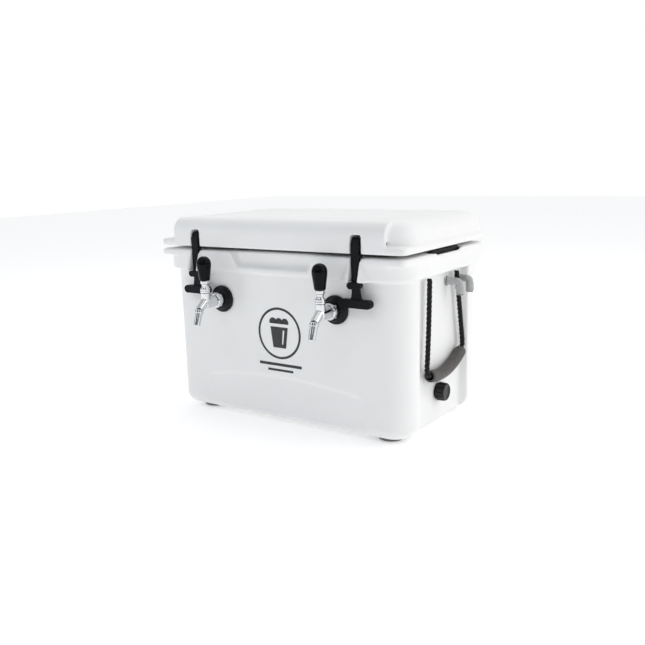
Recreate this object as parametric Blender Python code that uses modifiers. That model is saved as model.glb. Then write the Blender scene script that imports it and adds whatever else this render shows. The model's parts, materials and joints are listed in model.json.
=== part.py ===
"""Two-tap jockey box: a rotomoulded ice chest with beer taps, cooling coils, rope handles and a drain.

Metres, +Z up, front towards -Y. Every part hangs from one empty, so the whole box can be
centred on the world origin while each part is drawn about the middle of the tub.
"""

import math

import bmesh
import bpy
from mathutils import Matrix, Vector

# ---- driving dimensions, in metres, about the middle of the tub's footprint ----
CENTRE_SHIFT = (-0.0064, 0.0247, 0.0)   # brings the middle of the bounding box to the origin
GAP = 0.0003                            # between touching pieces
SKIN = 0.005                            # wall of the moulded skins

TUB_HALF = (0.272, 0.157)
TUB_BOTTOM = 0.010
TUB_FRONT_RADIUS, TUB_REAR_RADIUS, TUB_BOTTOM_RADIUS = 0.046, 0.036, 0.022
LIP_HALF = (0.280, 0.173)
LIP_BOTTOM, EAR_BOTTOM, LIP_TOP = 0.297, 0.327, 0.338
LIP_FRONT_RADIUS, LIP_REAR_RADIUS, EAR_RADIUS = 0.052, 0.025, 0.012
CAVITY_HALF, CAVITY_FLOOR, CAVITY_RADIUS = (0.232, 0.122), 0.047, 0.030
FOAM_TOP = 0.325

RECESS_WALL, RECESS_HALF = 0.256, 0.096     # the sunk panel at each end
ROPE_X, ROPE_Y, ROPE_RADIUS = 0.268, 0.057, 0.005
ROPE_HOLE_RADIUS, ROPE_CHANNEL_FLOOR = 0.0062, 0.3315
BRIDGE_Z = 0.3371
HANDLE_PIVOT_Z = 0.2912
GRIP_RADIUS, GRIP_BORE = 0.0115, 0.0073

LID_BOTTOM, FLANGE_TOP = 0.345, 0.358
CAP_HALF, CAP_TOP, CAP_EDGE = (0.276, 0.166), 0.398, 0.028
CREST_HALF, CREST_TOP = (0.242, 0.1735), 0.400
HINGE_Y, HINGE_Z, HINGE_RADIUS, ROD_RADIUS = 0.184, 0.3415, 0.0085, 0.003

LATCH_X, LATCH_PIN_Y, LATCH_PIN_Z = 0.185, -0.163, 0.3635
LATCH_PIN_RADIUS, LATCH_SLOT_HALF = 0.0035, 0.0105
STRAP_Y, STRAP_THICK = -0.1715, 0.007

TAP_X, TAP_Z = 0.1335, 0.242
SHANK_RADIUS = 0.011
BARREL_Y = -0.2065                       # the tap's upright axis
LEVER_PIVOT_Z = 0.268
SPOUT_TOP, SPOUT_LEAN = (-0.2256, 0.2312), (0, -10.1, -29)

CONNECTOR_Y, CONNECTOR_DROP = -0.0835, 0.0165
DRAIN_Z = 0.068
INLET_Y, INLET_Z = (0.036, 0.081), 0.275
ELBOW_X, ELBOW_RADIUS = 0.285, 0.0078

COIL_X, COIL_Y, COIL_RADIUS, TUBE_RADIUS = 0.116, 0.014, 0.097, 0.004
COIL_BOTTOM, COIL_PITCH, COIL_STEPS = 0.0565, 0.0112, 12
COIL_TURNS = 12 + 5 / 12
COIL_START = math.radians(70)            # where the lower end meets the inlet tube

SIDES = (("left", -1), ("right", 1))

COLOURS = {
    # name: colour, roughness, metallic
    "white_polyethylene": ((0.86, 0.86, 0.85), 0.45, 0.0),
    "urethane_foam": ((0.80, 0.72, 0.50), 0.90, 0.0),
    "black_rubber": ((0.018, 0.018, 0.020), 0.60, 0.0),
    "black_plastic": ((0.012, 0.012, 0.013), 0.30, 0.0),
    "grey_plastic": ((0.36, 0.38, 0.40), 0.50, 0.0),
    "dark_grip": ((0.060, 0.057, 0.055), 0.60, 0.0),
    "black_rope": ((0.015, 0.015, 0.015), 0.85, 0.0),
    "polished_steel": ((0.80, 0.80, 0.82), 0.10, 1.0),
    "plain_steel": ((0.60, 0.60, 0.62), 0.30, 1.0),
    "brass": ((0.70, 0.52, 0.22), 0.30, 1.0),
    "clear_tube": ((0.70, 0.72, 0.72), 0.25, 0.0),
    "grey_gasket": ((0.20, 0.20, 0.21), 0.80, 0.0),
    "foot_rubber": ((0.10, 0.10, 0.11), 0.80, 0.0),
}

for old in list(bpy.data.objects):
    bpy.data.objects.remove(old, do_unlink=True)

PARTS = bpy.data.collections.new("jockey_box")
CUTTERS = bpy.data.collections.new("cutters")
for collection in (PARTS, CUTTERS):
    bpy.context.scene.collection.children.link(collection)

ORIGIN = bpy.data.objects.new("box_origin", None)
ORIGIN.location = CENTRE_SHIFT
PARTS.objects.link(ORIGIN)


# ---- helpers ----
def material(name):
    """The Principled material of that name, made once."""
    found = bpy.data.materials.get(name)
    if found:
        return found
    colour, roughness, metallic = COLOURS[name]
    made = bpy.data.materials.new(name)
    made.use_nodes = True
    shader = made.node_tree.nodes["Principled BSDF"]
    shader.inputs["Base Color"].default_value = (*colour, 1.0)
    shader.inputs["Roughness"].default_value = roughness
    shader.inputs["Metallic"].default_value = metallic
    return made


def add(name, data, finish=None, parent=ORIGIN, at=(0, 0, 0)):
    """A new object: a part when it has a finish, otherwise a cutter or a piece to be joined."""
    obj = bpy.data.objects.new(name, data)
    obj.location = at
    obj.parent = parent
    if finish:
        obj.data.materials.append(material(finish))
        PARTS.objects.link(obj)
    else:
        obj.hide_render = True
        obj.display_type = "WIRE"
        CUTTERS.objects.link(obj)
    return obj


def pivot(name, at):
    """An empty on a joint's axis, in tub coordinates, that carries the moving pieces."""
    empty = bpy.data.objects.new(name, None)
    empty.location = at
    empty.parent = ORIGIN
    PARTS.objects.link(empty)
    return empty


def mesh_from(bm, name):
    bm.normal_update()
    bmesh.ops.recalc_face_normals(bm, faces=bm.faces)
    if bm.calc_volume(signed=True) < 0:
        bmesh.ops.reverse_faces(bm, faces=bm.faces)
    mesh = bpy.data.meshes.new(name)
    bm.to_mesh(mesh)
    bm.free()
    mesh.shade_smooth()
    mesh.set_sharp_from_angle(angle=math.radians(35))
    return mesh


def box_bmesh(low, high):
    bm = bmesh.new()
    bmesh.ops.create_cube(bm, size=1.0)
    size = [h - l for l, h in zip(low, high)]
    middle = [(h + l) / 2 for l, h in zip(low, high)]
    bmesh.ops.scale(bm, vec=size, verts=bm.verts)
    bmesh.ops.translate(bm, vec=middle, verts=bm.verts)
    return bm


def block(name, low, high, finish=None, parent=ORIGIN, at=(0, 0, 0)):
    """A plain box between two corners, which are counted from the parent's place plus at."""
    return add(name, mesh_from(box_bmesh(low, high), name), finish, parent, at)


def bevel_edges(bm, edges, radius, segments):
    bmesh.ops.bevel(bm, geom=edges, offset=radius, offset_type="OFFSET",
                    segments=segments, profile=0.5, affect="EDGES", clamp_overlap=True)


def rounded_block(name, low, high, front=0.0, rear=0.0, bottom=0.0, top=0.0,
                  segments=5, edge_segments=3, finish=None):
    """A box with upright corners rounded at the front and rear, then its bottom and top edges."""
    bm = box_bmesh(low, high)
    for radius, y in ((front, low[1]), (rear, high[1])):
        upright = [e for e in bm.edges
                   if abs(e.verts[0].co.z - e.verts[1].co.z) > 1e-6
                   and all(abs(v.co.y - y) < 1e-6 for v in e.verts)]
        if radius > 0:
            bevel_edges(bm, upright, radius, segments)
    for radius, z in ((bottom, low[2]), (top, high[2])):
        rim = [e for e in bm.edges
               if all(abs(v.co.z - z) < 1e-6 for v in e.verts) and len(e.link_faces) == 2
               and any(abs(f.normal.z) < 0.5 for f in e.link_faces)]
        if radius > 0:
            bevel_edges(bm, rim, radius, edge_segments)
    return add(name, mesh_from(bm, name), finish)


def cylinder(name, start, end, radius, segments=16, finish=None, parent=ORIGIN, end_radius=None):
    """A cylinder or cone from one point to another."""
    start, end = Vector(start), Vector(end)
    along = end - start
    bm = bmesh.new()
    bmesh.ops.create_cone(bm, cap_ends=True, segments=segments, radius1=radius,
                          radius2=radius if end_radius is None else end_radius,
                          depth=along.length)
    turn = Vector((0, 0, 1)).rotation_difference(along).to_matrix().to_4x4()
    bmesh.ops.transform(bm, matrix=Matrix.Translation((start + end) / 2) @ turn, verts=bm.verts)
    return add(name, mesh_from(bm, name), finish, parent)


def nut(name, stem, outer, thick, at, along, finish, sides=6):
    """A nut with flat sides, whose bore clears the round stem at its flats."""
    bore = (stem + GAP) / math.cos(math.pi / sides)
    return turned(name, [(bore, 0), (outer, 0), (outer, -thick), (bore, -thick)], at, along, finish,
                  steps=sides, ring=True)


def turned(name, profile, at, along, finish=None, parent=ORIGIN, steps=14, ring=False):
    """A turned piece. profile holds (radius, height) pairs from the top down the outer side, and
    along is the direction that height runs in. A ring's profile closes on itself."""
    mesh = bpy.data.meshes.new(name)
    points = [(radius, 0.0, height) for radius, height in profile]
    edges = [(i, i + 1) for i in range(len(points) - 1)]
    if ring:
        edges.append((len(points) - 1, 0))
    mesh.from_pydata(points, edges, [])
    obj = add(name, mesh, finish, parent, at)
    obj.rotation_mode = "QUATERNION"
    obj.rotation_quaternion = Vector((0, 0, 1)).rotation_difference(Vector(along))
    screw = obj.modifiers.new("turn", "SCREW")
    screw.steps = screw.render_steps = steps
    screw.use_merge_vertices = True
    screw.merge_threshold = 0.00005
    screw.use_smooth_shade = True
    return obj


def flat_shape(name, outline, thickness, at, finish=None, parent=ORIGIN, upright=True):
    """An outline in X and Z (or X and Y) given a thickness, as a mesh."""
    curve = bpy.data.curves.new(name, "CURVE")
    curve.dimensions = "2D"
    curve.fill_mode = "BOTH"
    curve.extrude = thickness / 2
    spline = curve.splines.new("POLY")
    spline.points.add(len(outline) - 1)
    for point, (x, y) in zip(spline.points, outline):
        point.co = (x, y, 0, 1)
    spline.use_cyclic_u = True
    helper = bpy.data.objects.new(name + "_outline", curve)
    bpy.context.scene.collection.objects.link(helper)
    graph = bpy.context.evaluated_depsgraph_get()
    mesh = bpy.data.meshes.new_from_object(helper.evaluated_get(graph))
    bpy.data.objects.remove(helper, do_unlink=True)
    bm = bmesh.new()
    bm.from_mesh(mesh)
    bmesh.ops.remove_doubles(bm, verts=bm.verts, dist=1e-6)
    if upright:
        bmesh.ops.rotate(bm, verts=bm.verts, matrix=Matrix.Rotation(math.pi / 2, 3, "X"))
    return add(name, mesh_from(bm, name), finish, parent, at)


def tube(name, points, radius, finish, parent=ORIGIN, resolution=2, round_ends=False):
    """A round tube with closed ends along the points. Round ends are half a ball past each."""
    curve = bpy.data.curves.new(name, "CURVE")
    curve.dimensions = "3D"
    curve.bevel_depth = radius
    curve.bevel_resolution = resolution
    curve.use_fill_caps = True
    points = [Vector(point) for point in points]
    sizes = [1.0] * len(points)
    if round_ends:
        first = (points[0] - points[1]).normalized() * radius
        last = (points[-1] - points[-2]).normalized() * radius
        points = ([points[0] + first * reach for reach in (0.96, 0.80, 0.50)] + points
                  + [points[-1] + last * reach for reach in (0.50, 0.80, 0.96)])
        sizes = [0.28, 0.60, 0.866] + sizes + [0.866, 0.60, 0.28]
    spline = curve.splines.new("POLY")
    spline.points.add(len(points) - 1)
    for point, co, size in zip(spline.points, points, sizes):
        point.co = (*co, 1)
        point.radius = size
    return add(name, curve, finish, parent)


def smooth_route(knots, spacing):
    """Points about that far apart on a Catmull-Rom curve through the knots."""
    knots = [Vector(k) for k in knots]
    ends = [2 * knots[0] - knots[1]] + knots + [2 * knots[-1] - knots[-2]]
    fine = []
    for a, b, c, d in zip(ends, ends[1:], ends[2:], ends[3:]):
        for i in range(24):
            t = i / 24
            fine.append(0.5 * (2 * b + (c - a) * t + (2 * a - 5 * b + 4 * c - d) * t * t
                               + (3 * b - a - 3 * c + d) * t ** 3))
    fine.append(knots[-1])
    walked = [0.0]
    for a, b in zip(fine, fine[1:]):
        walked.append(walked[-1] + (b - a).length)
    count = max(2, round(walked[-1] / spacing))
    points, at = [], 0
    for i in range(count + 1):
        target = walked[-1] * i / count
        while at < len(fine) - 2 and walked[at + 1] < target:
            at += 1
        part = (target - walked[at]) / max(walked[at + 1] - walked[at], 1e-12)
        points.append(fine[at].lerp(fine[at + 1], min(part, 1.0)))
    return points


def boolean(obj, other, operation):
    modifier = obj.modifiers.new(operation.lower() + "_" + other.name, "BOOLEAN")
    modifier.operation = operation
    modifier.solver = "EXACT"
    modifier.object = other


def cut(obj, *others):
    for other in others:
        boolean(obj, other, "DIFFERENCE")


def join(obj, *others):
    for other in others:
        boolean(obj, other, "UNION")


# ---- tub ----
def end_recess(name, side, grow=0.0, top=LIP_BOTTOM):
    """The sunk panel at one end, open at the bottom, with sloping upright borders."""
    bm = box_bmesh((RECESS_WALL - grow, -1, -0.05), (0.33, 1, top))
    for vert in bm.verts:
        reach = RECESS_HALF + grow if vert.co.x < 0.3 else RECESS_HALF + grow + 0.030
        vert.co.y = math.copysign(reach, vert.co.y)
        vert.co.x *= side
    return add(name, mesh_from(bm, name))


def tub_foam(name, gap, finish=None):
    """The space between the skins, or the foam that fills it when there is a gap."""
    x, y = TUB_HALF
    inset = SKIN + gap
    foam = rounded_block(name, (-x + inset, -y + inset, TUB_BOTTOM + inset),
                         (x - inset, y - inset, FOAM_TOP - gap),
                         TUB_FRONT_RADIUS - inset, TUB_REAR_RADIUS - inset, 0.017,
                         segments=4, edge_segments=2, finish=finish)
    cx, cy = CAVITY_HALF
    hollow = rounded_block(name + "_hollow", (-cx - inset, -cy - inset, CAVITY_FLOOR - inset),
                           (cx + inset, cy + inset, 0.36), CAVITY_RADIUS + inset,
                           CAVITY_RADIUS + inset, 0.009, segments=4, edge_segments=1)
    cut(foam, hollow, *(end_recess(f"{name}_{word}_recess", side, inset, 0.36) for word, side in SIDES))
    return foam


def wall_holes(name, clearance):
    """Cutters for every hole drilled through a wall of the tub."""
    holes = []
    for word, side in SIDES:
        holes.append(cylinder(f"{name}_{word}_shank", (side * TAP_X, -0.20, TAP_Z),
                              (side * TAP_X, -0.10, TAP_Z), SHANK_RADIUS + clearance))
    for word, y in zip(("front", "rear"), INLET_Y):
        holes.append(cylinder(f"{name}_{word}_inlet", (0.20, y, INLET_Z), (0.30, y, INLET_Z),
                              0.0065 + clearance, 12))
    holes.append(cylinder(f"{name}_drain", (0.20, 0, DRAIN_Z), (0.30, 0, DRAIN_Z),
                          0.011 + clearance))
    holes.append(cylinder(f"{name}_fill", (0, 0.14, 0.20), (0, 0.17, 0.20), 0.008 + clearance, 12))
    return holes


def keeper(word, side):
    """A wedge under the lip that the latch's bar hooks below; the strap's slot splits it."""
    bm = bmesh.new()
    bmesh.ops.create_cone(bm, cap_ends=True, segments=20, radius1=0.028, radius2=0.013,
                          depth=EAR_BOTTOM + 0.006 - LIP_BOTTOM)
    bmesh.ops.scale(bm, vec=(1, 0.60, 1), verts=bm.verts)
    middle = (side * LATCH_X, -LIP_HALF[1] + 0.001, (EAR_BOTTOM + 0.006 + LIP_BOTTOM) / 2)
    bmesh.ops.translate(bm, vec=middle, verts=bm.verts)
    return add(f"{word}_keeper", mesh_from(bm, f"{word}_keeper"))


def finger_pocket():
    """The grip scooped out of the lip's front, wider at the top."""
    bm = box_bmesh((-1, -0.20, 0.314), (1, -0.159, 0.36))
    for vert in bm.verts:
        vert.co.x = math.copysign(0.0825 if vert.co.z < 0.33 else 0.1065, vert.co.x)
        if vert.co.z < 0.33 and vert.co.y < -0.18:
            vert.co.z -= 0.016
    return add("finger_pocket", mesh_from(bm, "finger_pocket"))


def front_arch():
    """The low arched panel pressed into the front."""
    foot, shoulder, crown = (0.212, -0.03), (0.180, 0.084), 0.100
    outline = [(-foot[0], foot[1])]
    steps = 10
    for i in range(steps + 1):
        x = -shoulder[0] + 2 * shoulder[0] * i / steps
        outline.append((x, crown - (crown - shoulder[1]) * (x / shoulder[0]) ** 2))
    outline.append(foot)
    return flat_shape("front_arch", outline, 0.010, (0, -TUB_HALF[1] - 0.005 + 0.0025, 0))


def hinge_knuckle(name, low_x, high_x, arm_low, arm_high):
    """A barrel round the hinge rod with the arm that ties it to its wall."""
    barrel = cylinder(name, (low_x, HINGE_Y, HINGE_Z), (high_x, HINGE_Y, HINGE_Z),
                      HINGE_RADIUS, 16)
    arm = block(name + "_arm", (low_x, 0.160, arm_low), (high_x, HINGE_Y, arm_high))
    return [barrel, arm]


HINGES = []
for word, side in SIDES:
    HINGES.append((word, side * 0.160))
BODY_KNUCKLE, LID_KNUCKLE, KNUCKLE_GAP = 0.030, 0.044, 0.0006


def rope_channel(word, side):
    """The slot across the lip's top that carries the rope between its two holes."""
    low, high = sorted((side * (ROPE_X - 0.0065), side * (ROPE_X + 0.0062)))
    channel = block(f"{word}_channel", (low, -ROPE_Y - 0.0062, ROPE_CHANNEL_FLOOR),
                    (high, ROPE_Y + 0.0062, 0.36))
    low, high = sorted((side * (ROPE_X + 0.004), side * 0.30))
    mouth = block(f"{word}_mouth", (low, -0.050, 0.3335), (high, 0.050, 0.36))
    holes = [cylinder(f"{word}_rope_hole_{i}", (side * ROPE_X, y, 0.28), (side * ROPE_X, y, 0.35),
                      ROPE_HOLE_RADIUS, 12) for i, y in enumerate((-ROPE_Y, ROPE_Y))]
    return [channel, mouth] + holes


def make_tub():
    x, y = TUB_HALF
    shell = rounded_block("body_shell", (-x, -y, TUB_BOTTOM), (x, y, LIP_BOTTOM + 0.010),
                          TUB_FRONT_RADIUS, TUB_REAR_RADIUS, TUB_BOTTOM_RADIUS,
                          finish="white_polyethylene")
    cut(shell, front_arch(), *(end_recess(f"{word}_recess", side) for word, side in SIDES))
    lx, ly = LIP_HALF
    lip = rounded_block("lip", (-lx + 0.001, -ly + 0.001, LIP_BOTTOM), (lx - 0.001, ly - 0.001,
                        EAR_BOTTOM + 0.003), LIP_FRONT_RADIUS, LIP_REAR_RADIUS, 0.003,
                        edge_segments=1)
    ears = rounded_block("ears", (-lx, -ly, EAR_BOTTOM), (lx, ly, LIP_TOP), EAR_RADIUS,
                         LIP_REAR_RADIUS, 0, 0.003, segments=3, edge_segments=1)
    keepers = [keeper(word, side) for word, side in SIDES]
    join(shell, lip, ears, *keepers)
    for word, middle in HINGES:
        for end in (-1, 1):
            inner = middle + end * (LID_KNUCKLE / 2 + KNUCKLE_GAP)
            low, high = sorted((inner, inner + end * BODY_KNUCKLE))
            join(shell, *hinge_knuckle(f"{word}_body_knuckle_{end + 1}", low, high, 0.305,
                                       HINGE_Z - 0.004))
    cx, cy = CAVITY_HALF
    cavity = rounded_block("cavity", (-cx, -cy, CAVITY_FLOOR), (cx, cy, 0.36), CAVITY_RADIUS,
                           CAVITY_RADIUS, 0.004, segments=4, edge_segments=1)
    cut(shell, cavity, tub_foam("foam_space", 0.0), finger_pocket())
    cut(shell, *wall_holes("shell", 0.0005))
    for word, side in SIDES:
        cut(shell, *rope_channel(word, side))
        slot = block(f"{word}_strap_slot", (side * LATCH_X - 0.0092, -0.22, 0.28),
                     (side * LATCH_X + 0.0092, -0.1665, 0.36))
        cut(shell, slot)
    for word, middle in HINGES:
        reach = LID_KNUCKLE / 2 + BODY_KNUCKLE + 0.01
        cut(shell, cylinder(f"{word}_body_rod_bore", (middle - reach, HINGE_Y, HINGE_Z),
                            (middle + reach, HINGE_Y, HINGE_Z), ROD_RADIUS + 0.00005, 24))
    foam = tub_foam("body_foam", GAP, "urethane_foam")
    cut(foam, *wall_holes("foam", 0.0008))
    turned("body_fill_plug", [(0, 0.003), (0.0095, 0.003), (0.0105, 0.0015), (0.0105, 0),
                              (0.0078, 0), (0.0078, -0.005 - GAP), (0, -0.005 - GAP)],
           (0, TUB_HALF[1] + GAP, 0.20), (0, 1, 0), "white_polyethylene", steps=12)
    for word_y, y_side in (("front", -1), ("rear", 1)):
        for word, side in SIDES:
            turned(f"{word_y}_{word}_foot",
                   [(0, 0), (0.022, 0), (0.024, -0.002), (0.024, -0.0082), (0.0225, -0.0097),
                    (0, -0.0097)],
                   (side * 0.214, y_side * 0.105, TUB_BOTTOM - GAP), (0, 0, 1), "foot_rubber")


# ---- lid ----
def make_lid():
    hinge = pivot("lid_hinge", (0, HINGE_Y, HINGE_Z))
    x, y = LIP_HALF
    shell = rounded_block("lid_shell", (-x, -y, LID_BOTTOM), (x, y, FLANGE_TOP), EAR_RADIUS,
                          LIP_REAR_RADIUS, 0.002, 0.004, segments=3, edge_segments=1,
                          finish="white_polyethylene")
    cx, cy = CAP_HALF
    caps = rounded_block("end_caps", (-cx, -cy, 0.350), (cx, cy + 0.002, CAP_TOP), 0.055, 0.030,
                         0, CAP_EDGE, segments=6, edge_segments=5)
    kx, ky = CREST_HALF
    bm = box_bmesh((-kx, -ky, LID_BOTTOM + 0.0005), (kx, ky - 0.002, CREST_TOP))
    for y_edge in (-ky, ky - 0.002):
        bevel_edges(bm, [e for e in bm.edges if all(abs(v.co.z - CREST_TOP) < 1e-6
                                                    and abs(v.co.y - y_edge) < 1e-6
                                                    for v in e.verts)], CAP_EDGE, 5)
    crest = add("crest", mesh_from(bm, "crest"))
    ix, iy = CAVITY_HALF[0] - 0.009, CAVITY_HALF[1] - 0.009
    plug = rounded_block("lid_plug", (-ix, -iy, 0.328), (ix, iy, LID_BOTTOM + 0.003), 0.024, 0.024,
                         0.005, segments=4, edge_segments=1)
    join(shell, caps, crest, plug)
    for word, middle in HINGES:
        half = LID_KNUCKLE / 2
        join(shell, *hinge_knuckle(f"{word}_lid_knuckle", middle - half, middle + half,
                                   LID_BOTTOM + 0.0008, HINGE_Z + 0.0080))
        cut(shell, cylinder(f"{word}_lid_rod_bore", (middle - half - 0.01, HINGE_Y, HINGE_Z),
                            (middle + half + 0.01, HINGE_Y, HINGE_Z), ROD_RADIUS + 0.00005, 24))
    foam_low, foam_high = (-0.262, -0.146, 0.352), (0.262, 0.150, 0.392)
    space = rounded_block("lid_foam_space", foam_low, foam_high, 0.045, 0.030, 0, 0.022,
                          segments=4, edge_segments=3)
    port = cylinder("lid_fill_port", (0, 0.06, 0.31), (0, 0.06, 0.36), 0.0083, 12)
    cut(shell, space, port)
    for word, side in SIDES:
        slot = block(f"{word}_latch_slot", (side * LATCH_X - LATCH_SLOT_HALF, -0.20, 0.33),
                     (side * LATCH_X + LATCH_SLOT_HALF, -0.1515, 0.3775))
        bore = cylinder(f"{word}_pin_bore", (side * 0.158, LATCH_PIN_Y, LATCH_PIN_Z),
                        (side * 0.262, LATCH_PIN_Y, LATCH_PIN_Z), LATCH_PIN_RADIUS + 0.00008, 20)
        cut(shell, slot, bore)
    bm = box_bmesh([v + GAP for v in foam_low], [v - GAP for v in foam_high])
    bm.free()
    foam = rounded_block("lid_foam", [v + GAP for v in foam_low], [v - GAP for v in foam_high],
                         0.045, 0.030, 0, 0.022, segments=4, edge_segments=3,
                         finish="urethane_foam")
    turned("lid_fill_plug", [(0, 0.002), (0.0080, 0.002), (0.0080, -0.0223), (0.0110, -0.0223),
                             (0.0110, -0.0240), (0.0100, -0.0253), (0, -0.0253)],
           (0, 0.06, 0.350 - GAP), (0, 0, 1), "white_polyethylene", steps=12)
    gasket_outer, gasket_inner = (0.2475, 0.1375), (0.2405, 0.1305)
    gasket = rounded_block("lid_gasket", (-gasket_outer[0], -gasket_outer[1], LIP_TOP + GAP),
                           (gasket_outer[0], gasket_outer[1], LID_BOTTOM - GAP), 0.032, 0.032,
                           segments=4, finish="grey_gasket")
    window = rounded_block("gasket_window", (-gasket_inner[0], -gasket_inner[1], 0.33),
                           (gasket_inner[0], gasket_inner[1], 0.36), 0.025, 0.025, segments=4)
    cut(gasket, window)
    for word, side in SIDES:
        cylinder(f"{word}_latch_pin", (side * 0.1585, LATCH_PIN_Y, LATCH_PIN_Z),
                 (side * 0.2405, LATCH_PIN_Y, LATCH_PIN_Z), LATCH_PIN_RADIUS, 20, "plain_steel")
    for word, middle in HINGES:
        reach = LID_KNUCKLE / 2 + BODY_KNUCKLE
        cylinder(f"{word}_hinge_rod", (middle - reach, HINGE_Y, HINGE_Z),
                 (middle + reach, HINGE_Y, HINGE_Z), ROD_RADIUS, 24, "plain_steel")
    for name in ("lid_shell", "lid_foam", "lid_fill_plug", "lid_gasket", "left_latch_pin",
                 "right_latch_pin"):
        carry(bpy.data.objects[name], hinge)


def carry(obj, empty):
    """Hangs an object from an empty without moving it."""
    obj.parent = empty
    obj.matrix_parent_inverse = Matrix.Translation(-Vector(empty.location))


# ---- latches ----
def capsule(half_length, radius, steps=5):
    """An outline in X and Z with round ends."""
    points = []
    for side in (1, -1):
        for i in range(steps + 1):
            angle = math.pi / 2 - side * math.pi / 2 + math.pi * (i / steps - 0.5)
            points.append((side * half_length + radius * math.cos(angle),
                           radius * math.sin(angle)))
    return points


def make_latch(word, side):
    pin = pivot(f"{word}_latch_pivot", (side * LATCH_X, LATCH_PIN_Y, LATCH_PIN_Z))
    x = side * LATCH_X
    half = [(0.0083, 0.000), (0.0083, -0.020), (0.0075, -0.055), (0.0072, -0.084),
            (0.0085, -0.092), (0.0130, -0.1005)]
    outline = [(-w, z) for w, z in half] + [(w, z) for w, z in reversed(half)]
    latch = flat_shape(f"{word}_latch", outline, STRAP_THICK, (x, STRAP_Y, LATCH_PIN_Z),
                       "black_rubber")
    bulb = cylinder(f"{word}_bulb", (x - 0.0088, LATCH_PIN_Y, LATCH_PIN_Z),
                    (x + 0.0088, LATCH_PIN_Y, LATCH_PIN_Z), 0.0098, 16)
    bar = cylinder(f"{word}_bar", (x - 0.0170, -0.1780, 0.2895), (x + 0.0170, -0.1780, 0.2895),
                   0.0065, 12)
    grip = flat_shape(f"{word}_grip", capsule(0.0245, 0.0076), 0.0115, (x, STRAP_Y - 0.001, 0.2592))
    nub = cylinder(f"{word}_nub", (x, STRAP_Y, 0.3415), (x + 0.0125, STRAP_Y, 0.3415), 0.0026, 8)
    join(latch, bulb, bar, grip, nub)
    bore = cylinder(f"{word}_latch_bore", (x - 0.02, LATCH_PIN_Y, LATCH_PIN_Z),
                    (x + 0.02, LATCH_PIN_Y, LATCH_PIN_Z), LATCH_PIN_RADIUS + 0.00008, 20)
    cut(latch, bore)
    carry(latch, pin)


# ---- taps ----
def make_tap(word, side):
    x = side * TAP_X
    front = -TUB_HALF[1]
    inner = -CAVITY_HALF[1]
    toward = (0, -1, 0)
    # black stepped flange on the wall
    turned(f"{word}_wall_flange",
           [(0.0116, 0.0125), (0.0180, 0.0125), (0.0200, 0.0110), (0.0215, 0.0065),
            (0.0262, 0.0050), (0.0266, 0.0035), (0.0266, 0.0003), (0.0116, 0.0003)],
           (x, front, TAP_Z), toward, "black_plastic", steps=20, ring=True)
    # threaded shank through the wall, with the beer bore
    turned(f"{word}_shank",
           [(0.0050, 0.0150), (SHANK_RADIUS, 0.0150), (SHANK_RADIUS, -0.0600),
            (0.0050, -0.0600)],
           (x, front, TAP_Z), toward, "polished_steel", ring=True)
    nut(f"{word}_shank_nut", SHANK_RADIUS, 0.0185, 0.010, (x, inner + GAP, TAP_Z), toward,
        "brass")
    # chrome coupling nut that pulls the tap onto the shank
    turned(f"{word}_coupling_nut",
           [(0.0096, 0.0280), (0.0150, 0.0280), (0.0172, 0.0255), (0.0172, 0.0135),
            (0.0160, 0.0130), (0.0114, 0.0130), (0.0114, 0.0220), (0.0096, 0.0220)],
           (x, front, TAP_Z), toward, "polished_steel", steps=16, ring=True)
    make_tap_body(word, x)
    make_lever(word, x)
    # push-fit elbow that joins the coil's upper end to the shank's inner end
    shank_end = front + 0.0600 + GAP
    elbow = cylinder(f"{word}_coil_connector", (x, shank_end, TAP_Z), (x, CONNECTOR_Y, TAP_Z),
                     0.0098, 14, "grey_plastic", end_radius=0.0080)
    leg = cylinder(f"{word}_connector_leg", (x, CONNECTOR_Y, TAP_Z + 0.0075),
                   (x, CONNECTOR_Y, TAP_Z - CONNECTOR_DROP), 0.0078, 14)
    join(elbow, leg)
    cut(elbow, cylinder(f"{word}_connector_bore", (x, shank_end - 0.01, TAP_Z),
                        (x, CONNECTOR_Y, TAP_Z), 0.0040, 10),
        cylinder(f"{word}_connector_drop", (x, CONNECTOR_Y, TAP_Z),
                 (x, CONNECTOR_Y, TAP_Z - 0.03), 0.0038, 10))


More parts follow.
